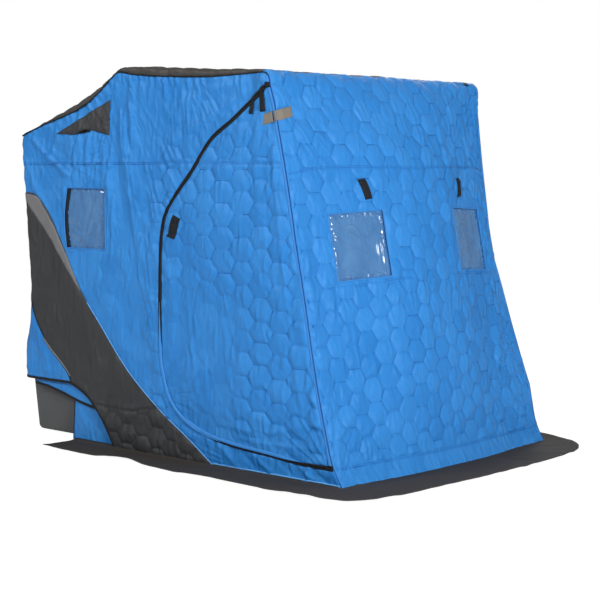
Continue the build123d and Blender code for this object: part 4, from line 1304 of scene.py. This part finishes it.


# a dark net patch in the vent's mouth: painted shade under the hood
ventNetShade = [(1.7, 1.61), (1.79, 1.6), (1.79, 1.64), (1.7, 1.64)]
sideTrims["vent_cover"] = thinCloth(ventRing, sideSurface, -1, blackCloth, ventHeight, 0.009, 0.003)
sideTrims["vent_net"] = sidePatch(ventNetShade, webbing, above(wallLift, 0.0025), 0.002)


def innerSide(inset):
    return lambda p: sideSurface(p) + np.array([inset, 0, 0])


gussetLook = {
    "origin": (0, 0), "seed": 61, "slack": 0.004, "quilted": lambda p: 0.0, "creased": lambda p: 0.2,
    "folds": [
        ([(1.86, 0.2), (1.81, 0.12), (1.74, 0.05)], 0.008, 0.004),
        ([(1.85, 0.21), (1.76, 0.13), (1.65, 0.06)], 0.01, -0.003),
        ([(1.8, 0.2), (1.83, 0.1), (1.82, 0.02)], 0.012, 0.003),
    ],
}
upperLook = {**gussetLook, "folds": [([(1.75, 0.2), (1.9, 0.25), (2.1, 0.29)], 0.01, 0.003)]}
lowerDeep, upperDeep = 0.024, 0.0145  # how far inside the wall the two pieces lie
gussetFlapEdge = smoothCurve([(2.18, 0.277), (2.09, 0.268), (1.979, 0.247), (1.844, 0.215), (1.76, 0.198),
    (1.66, 0.182)])
lowerRing = ring([(1.47, 0.001), (1.884, 0.001), (1.866, 0.3), (1.62, 0.3), (1.47, 0.12), (1.47, 0.001)],
    step=0.012)
upperRing = ring(gussetFlapEdge, [(1.66, 0.182), (1.64, 0.34), (2.18, 0.345), (2.18, 0.277)], step=0.012)
gussets = [panel([outline], innerSide(deep), look, -1, step=0.012, thickness=0.004, materials=[blueCloth])
           for outline, deep, look in ((lowerRing, lowerDeep, gussetLook), (upperRing, upperDeep, upperLook))]
sideTrims["gusset_cloth"] = joined(*gussets)
sideTrims["gusset_binding"] = joined(
    trim(gussetFlapEdge, innerSide(upperDeep), [(a, b * 0.6) for a, b in binding], -1, [webbing]),
    trim([(1.884, 0.004), (1.87, 0.21)], innerSide(lowerDeep), roundProfile(0.003, 0.002), -1, [blueCloth]))


def filmHeight(seed, outline, folds=()):
    def height(p):
        d = rimDistance(outline, p) * insideOf([outline], p)
        rough = np.abs(waves(p, 0.06, seed, 1.8, 20))
        rough = rough + 0.6 * np.abs(waves(p, 0.035, seed + 1, 1.5, 110))
        rough = rough + 0.35 * np.abs(waves(p, 0.018, seed + 2, 1.5, 60))
        rim = ease(d, 0, 0.006) * (1 - ease(d, 0.014, 0.034))
        wrinkled = 0.006 * (1 - rough) * ease(d, 0, 0.03) + 0.005 * waves(p, 0.011, seed + 3, 1.0) * rim
        return wrinkled + foldHeight(p, folds) * ease(d, 0, 0.01)
    return height


def grown(r, amount):  # a rectangle's ring made larger all round
    middle = (r.max(0) + r.min(0)) / 2
    half = np.ptp(r, axis=0) / 2
    return middle + (r - middle) * (half + amount) / half


filmFolds = [  # sharp creases in the clear sheet, measured from its lower left corner
    ([(0.262, 0.09), (0.258, 0.15), (0.262, 0.2)], 0.004, 0.007),
    ([(0.286, 0.06), (0.284, 0.13), (0.276, 0.22)], 0.004, 0.008),
    ([(0.06, 0.24), (0.1, 0.262), (0.15, 0.25), (0.17, 0.21)], 0.004, 0.006),
    ([(0.08, 0.21), (0.12, 0.228), (0.15, 0.2)], 0.0035, 0.006),
    ([(0.02, 0.25), (0.035, 0.2), (0.05, 0.17)], 0.004, 0.006),
    ([(0.2, 0.29), (0.21, 0.2), (0.2, 0.1)], 0.004, 0.004),
    ([(0.02, 0.03), (0.08, 0.02), (0.14, 0.03)], 0.004, 0.007),
    ([(0.17, 0.025), (0.22, 0.035), (0.28, 0.02)], 0.004, 0.007),
    ([(0.04, 0.12), (0.12, 0.15), (0.2, 0.12)], 0.005, 0.004),
    ([(0.3, 0.28), (0.296, 0.15), (0.3, 0.03)], 0.004, 0.007),
]
windowSetting = {"grown": 0.012, "deep": 0.0112, "cloth": 0.0008}  # the film laps behind the cloth's opening
filmOutline = grown(windowRing, windowSetting["grown"])
# black tape along the window's rear edge, inside the wall; it is also painted shade of the window's recess
sideTrims["window_edge"] = trim(aside(windowRear, -0.01), innerSide(0.006), flatProfile(0.024, 0.002), -1,
    [webbing], step=0.01)
sideTrims["window_film"] = thinCloth(filmOutline, innerSide(windowSetting["deep"]), -1, film,
    filmHeight(81, windowRing), 0.006, windowSetting["cloth"])
blueTrims = ("door_rolled_edge", "door_level_seam", "wall_level_seam", "corner_piping", "corner_welt",
    "window_welt", "rear_corner_piping", "foot_binding", "gusset_cloth")
nodesOf = {"door_zipper_tape": ["door_zipper"], "vent_cover": ["vent_hood"], "window_film": ["side_window"],
    "gusset_cloth": ["sled_gusset"]}
cloths = {"vent_cover": [sideTrims["vent_cover"]], "window_film": [sideTrims["window_film"]],
    "gusset_cloth": gussets}


def slotOf(key):
    if key == "window_film":
        return "clear_film"
    if key in blueTrims:
        return "blue_cloth"
    return "zipper" if "zipper" in key or key == "door_tab" else "charcoal_cloth"


for key, made in sideTrims.items():
    for hand in ("left", "right"):
        name, nodes = f"{hand}_{key}", [f"{hand}_{n}" for n in nodesOf.get(key, [])]
        place(name, made, slot=slotOf(key), nodes=nodes, flip=hand == "right")
        cuts = cloths.get(key)
        if cuts:  # their size as if laid side by side when there are two
            size = sum(c["size"][0] for c in cuts), max(c["size"][1] for c in cuts)
print("side trims made")

# ---- front, roof and rear trims
frontLift = reliefOf(frontRings, frontLook)
rearLift = reliefOf([rearRing(tRearTop, tRearFoot)], rearLook)
frontEdgeLine = upright(lambda t: -(shellEdge(t) - 0.0088), 0.006, sectionWhere(height=1.846), 150)
lipLine = upright(lambda t: -shellEdge(t), tLipStart + 0.01, tRearTop - 0.02, 300)
mirror = [-1, 1]


def acrossLine(t):
    half = float(shellEdge(np.array([t]))[0]) - 0.004
    return np.array([(-half, t), (half, t)])


def frontTab(x, lean):
    low, high = float(sectionWhere(height=1.278)), float(sectionWhere(height=1.378))
    a, b = x - 0.021, x + 0.021
    strap = [(a + lean, low), (b + lean, low + 0.006), (b, high), (a, high - 0.006)]
    label = block(a + 0.004, high - 0.03, b - 0.004, high - 0.01)
    return joined(shellPatch(strap, webbing, above(frontLift, 0.003), 0.0024, rounded=0.0012),
                  shellPatch(label, webbing, above(frontLift, 0.0048)))


def cornerSurface(p):  # (distance round the near corner, height): the side wall below zero, the front above
    z = p[:, 1]
    t = sectionWhere(height=z)
    onSide = sideSurface(np.column_stack([cornerDepth(z) + np.maximum(-p[:, 0], 0), z]))
    onFront = shellSurface(np.column_stack([-(shellEdge(t) - np.maximum(p[:, 0], 0)), t]))
    share = ease(p[:, 0], -0.006, 0.006)[:, None]
    return onSide * (1 - share) + onFront * share


def cornerPatch(low, high):  # grey tape, rising a little towards the front
    corners = [(u, z + 0.2 * u) for u, z in block(low, 1.642, high, 1.69)]
    return smallPatch(corners, cornerSurface, 1, patchTape,
        lambda p: 0.0024 + 0.0096 * ease(p[:, 0], 0.002, 0.03))


weltProfiles = ((frontEdgeLine, weltFront), (frontEdgeLine * mirror, [(-a, b) for a, b in weltFront][::-1]))
wideTrims = {
    "front_seam_tapes": (joined(*[shellTrim(p, flatSeam, seamShadeTape, lift=frontLift)
        for p in frontSeams + underWindows]), "blue_cloth"),
    "front_corner_welts": (joined(*[shellTrim(line, profile, welt, step=0.006,
        lift=rippled(-0.0006, 0.0014, 0.022, 79)) for line, profile in weltProfiles]), "blue_cloth"),
    "front_window_welts": (joined(*[shellTrim(looped(r), roundProfile(0.003, 0.0012), welt, step=0.008,
        closed=True) for r in frontRings[1:]]), "blue_cloth"),
    "front_tabs": (joined(frontTab(-0.386, 0.028), frontTab(0.386, -0.01)), "zipper"),
    "corner_patch": (cornerPatch(-side["hinge"] + 0.002, 0.088), "charcoal_cloth"),
    "roof_seam_tapes": (joined(
        *[shellTrim(acrossLine(t), flatSeam, webbing) for t in (tRollEnd, tPeak, tRearTop)],
        *[shellTrim(line, roundProfile(0.003), webbing, step=0.01) for line in (lipLine, lipLine * mirror)]),
        "charcoal_cloth"),
    "roof_tab": (shellPatch(block(0.7, tRollEnd - 0.045, 0.735, tRollEnd + 0.02), webbing, 0.004, 0.002),
        "zipper"),
    "rear_seam_tapes": (joined(*[shellTrim(p, flatSeam, welt, lift=rearLift)
        for p, _ in rearLook["seams"]]), "blue_cloth"),
    "rear_hem_binding": (shellTrim([(-0.7, tRearFoot), (0.7, tRearFoot)], binding, webbing),
        "charcoal_cloth"),
}
place("left_door_patch", cornerPatch(-0.118, -side["hinge"] - 0.0065),
    body="left_door", slot="charcoal_cloth")
for hand, outline, seed in (("left", frontRings[1], 90), ("right", frontRings[2], 92)):
    behind = lambda p: shellSurface(p) - normalsOn(shellSurface, p, 1) * windowSetting["deep"]
    a, low = outline.min(0)
    folds = [([(a + x, low + y) for x, y in line], width, tall) for line, width, tall in filmFolds]
    filmOutline, lift = grown(outline, windowSetting["grown"]), filmHeight(seed, outline, folds)
    made = thinCloth(filmOutline, behind, 1, film, lift, 0.005, windowSetting["cloth"])
    name = f"front_{hand}_film"
    place(name, made, body="hut", slot="clear_film", nodes=[f"front_{hand}_window"])
for name, (made, slotName) in wideTrims.items():
    place(name, made, body="hut", slot=slotName)
print("front, roof and rear trims made")

# ---- the skirt that lies on the ice
skirt = {
    "outer": [(-1.02, 1.852), (-1.04, 1.7), (-1.043, 1.535), (-1.021, 1.36), (-1.011, 1.194), (-1.042, 1.023),
        (-1.049, 0.85), (-1.044, 0.683), (-1.056, 0.45), (-1.062, 0.27), (-1.052, 0.1), (-1.032, -0.079),
        (-0.997, -0.186), (-0.9, -0.267), (-0.787, -0.274), (-0.55, -0.294), (-0.332, -0.312),
        (0.105, -0.328), (0.45, -0.313), (0.66, -0.285), (0.76, -0.243), (0.83, -0.19), (0.9, -0.09),
        (0.962, 0.09), (1.0, 0.3), (1.026, 0.6), (1.02, 0.9), (0.998, 1.2), (1.022, 1.5), (1.0, 1.852)],
    "inner": 0.8, "front": 0.02, "rear": 1.852, "cloth": 0.003,
}
skirtOuter = smoothCurve(skirt["outer"])
inner = [(skirt["inner"], skirt["rear"]), (skirt["inner"], skirt["front"]), (-skirt["inner"], skirt["front"]),
    (-skirt["inner"], skirt["rear"])]
skirtRing = ring(skirtOuter, [tuple(skirtOuter[-1]), inner[0]], inner[:2], inner[1:3], inner[2:],
    [inner[3], tuple(skirtOuter[0])], step=0.012)


def skirtHeight(p):
    edge, along = nearest(evenly(skirtOuter, 0.006), p)
    wall = nearest(evenly(inner, 0.006), p)[0]
    free = ease(wall, 0.02, 0.16)
    rise = 0.005 * (1 + waves(np.column_stack([along, wall * 0.35]), 0.2, 101)) * free
    rise += 0.0022 * (1 + waves(np.column_stack([along, wall]), 0.06, 102, 1.0)) * free
    rise += 0.0025 * bell(edge, 0.03) * (1 + waves(np.column_stack([along, along * 0]), 0.2, 103))
    return 0.0032 + rise + 0.012 * np.exp(-wall / 0.018)


def skirtPlan(p):
    return np.column_stack([p[:, 0], p[:, 1], np.zeros(len(p))])


skirtMade = thinCloth(skirtRing, skirtPlan, 1, skirtCloth, skirtHeight, 0.013, skirt["cloth"])
place("ground_skirt", skirtMade, body="hut", slot="charcoal_cloth",
    nodes=["front_skirt", "left_skirt", "right_skirt"])
width, height = (float(v) for v in skirtMade["size"])
print("skirt made")


# ---- floor, light and camera
def areaLight(name, place, size, power):
    lamp = bpy.data.lights.new(name, "AREA")
    lamp.shape, lamp.size, lamp.size_y, lamp.energy = "RECTANGLE", size[0], size[1], power
    thing = bpy.data.objects.new(name, lamp)
    scene.collection.objects.link(thing)
    thing.location = place
    thing.rotation_euler = (Vector((0, 0.1, 0.9)) - Vector(place)).to_track_quat("-Z", "Y").to_euler()


lights = {"key": ((-6.0, 2.2, 5.0), (1.6, 1.6), 262), "front": ((-3.6, -7.1, 2.5), (1.6, 1.6), 548),
    "top": ((0.5, -1.0, 6.5), (3, 3), 80), "fill": ((6.5, 2.5, 3.5), (3, 3), 130)}
for name, (spot, size, power) in lights.items():  # place, width and height in metres, watts
    areaLight(name, spot, size, power)
world = bpy.data.worlds.new("paleStudio")
scene.world = world
world.use_nodes = True
tree = world.node_tree
paths = addNode(tree, "LightPath", {})
seen = calc(tree, "MAXIMUM", paths["Is Camera Ray"], paths["Is Transmission Ray"])
strength = addNode(tree, "MapRange", {"Value": seen, "To Min": 0.27, "To Max": 1.0})[0]
tree.links.new(strength, tree.nodes["Background"].inputs["Strength"])
tree.nodes["Background"].inputs["Color"].default_value = linear("#FFFFFF")
bpy.ops.mesh.primitive_grid_add(x_subdivisions=8, y_subdivisions=8, size=60, location=(0, 0, 0))
floor = bpy.context.object
floor.name = "floor"
floorMaterial, tree, shader = newMaterial("whitePaperFloor", "#DADADA", 0.9, {})
glow = addNode(tree, "Emission", {"Color": linear("#FFFFFF"), "Strength": 1.2})[0]
share = calc(tree, "MULTIPLY", addNode(tree, "LightPath", {})["Is Camera Ray"], 0.8)
mixed = addNode(tree, "MixShader", {0: share, 1: shader.outputs[0], 2: glow})[0]
tree.links.new(mixed, tree.nodes["Material Output"].inputs["Surface"])
floor.data.materials.append(floorMaterial)

view = {"lens": 92.77, "sensor": 36, "azimuth": -48.047, "tilt": 5.02,
    "place": (-5.986, -4.395 + footY, 1.446), "reach": 100}
cameraData = bpy.data.cameras.new("camera")
cameraData.lens, cameraData.sensor_width, cameraData.clip_end = view["lens"], view["sensor"], view["reach"]
camera = bpy.data.objects.new("camera", cameraData)
scene.collection.objects.link(camera)
azimuth, tilt = math.radians(view["azimuth"]), math.radians(view["tilt"])
backward = Vector((math.sin(azimuth) * math.cos(tilt), -math.cos(azimuth) * math.cos(tilt), math.sin(tilt)))
camera.location = view["place"]
camera.rotation_mode = "QUATERNION"
camera.rotation_quaternion = (-backward).to_track_quat("-Z", "Y")
scene.camera = camera
scene.view_settings.view_transform = "Standard"
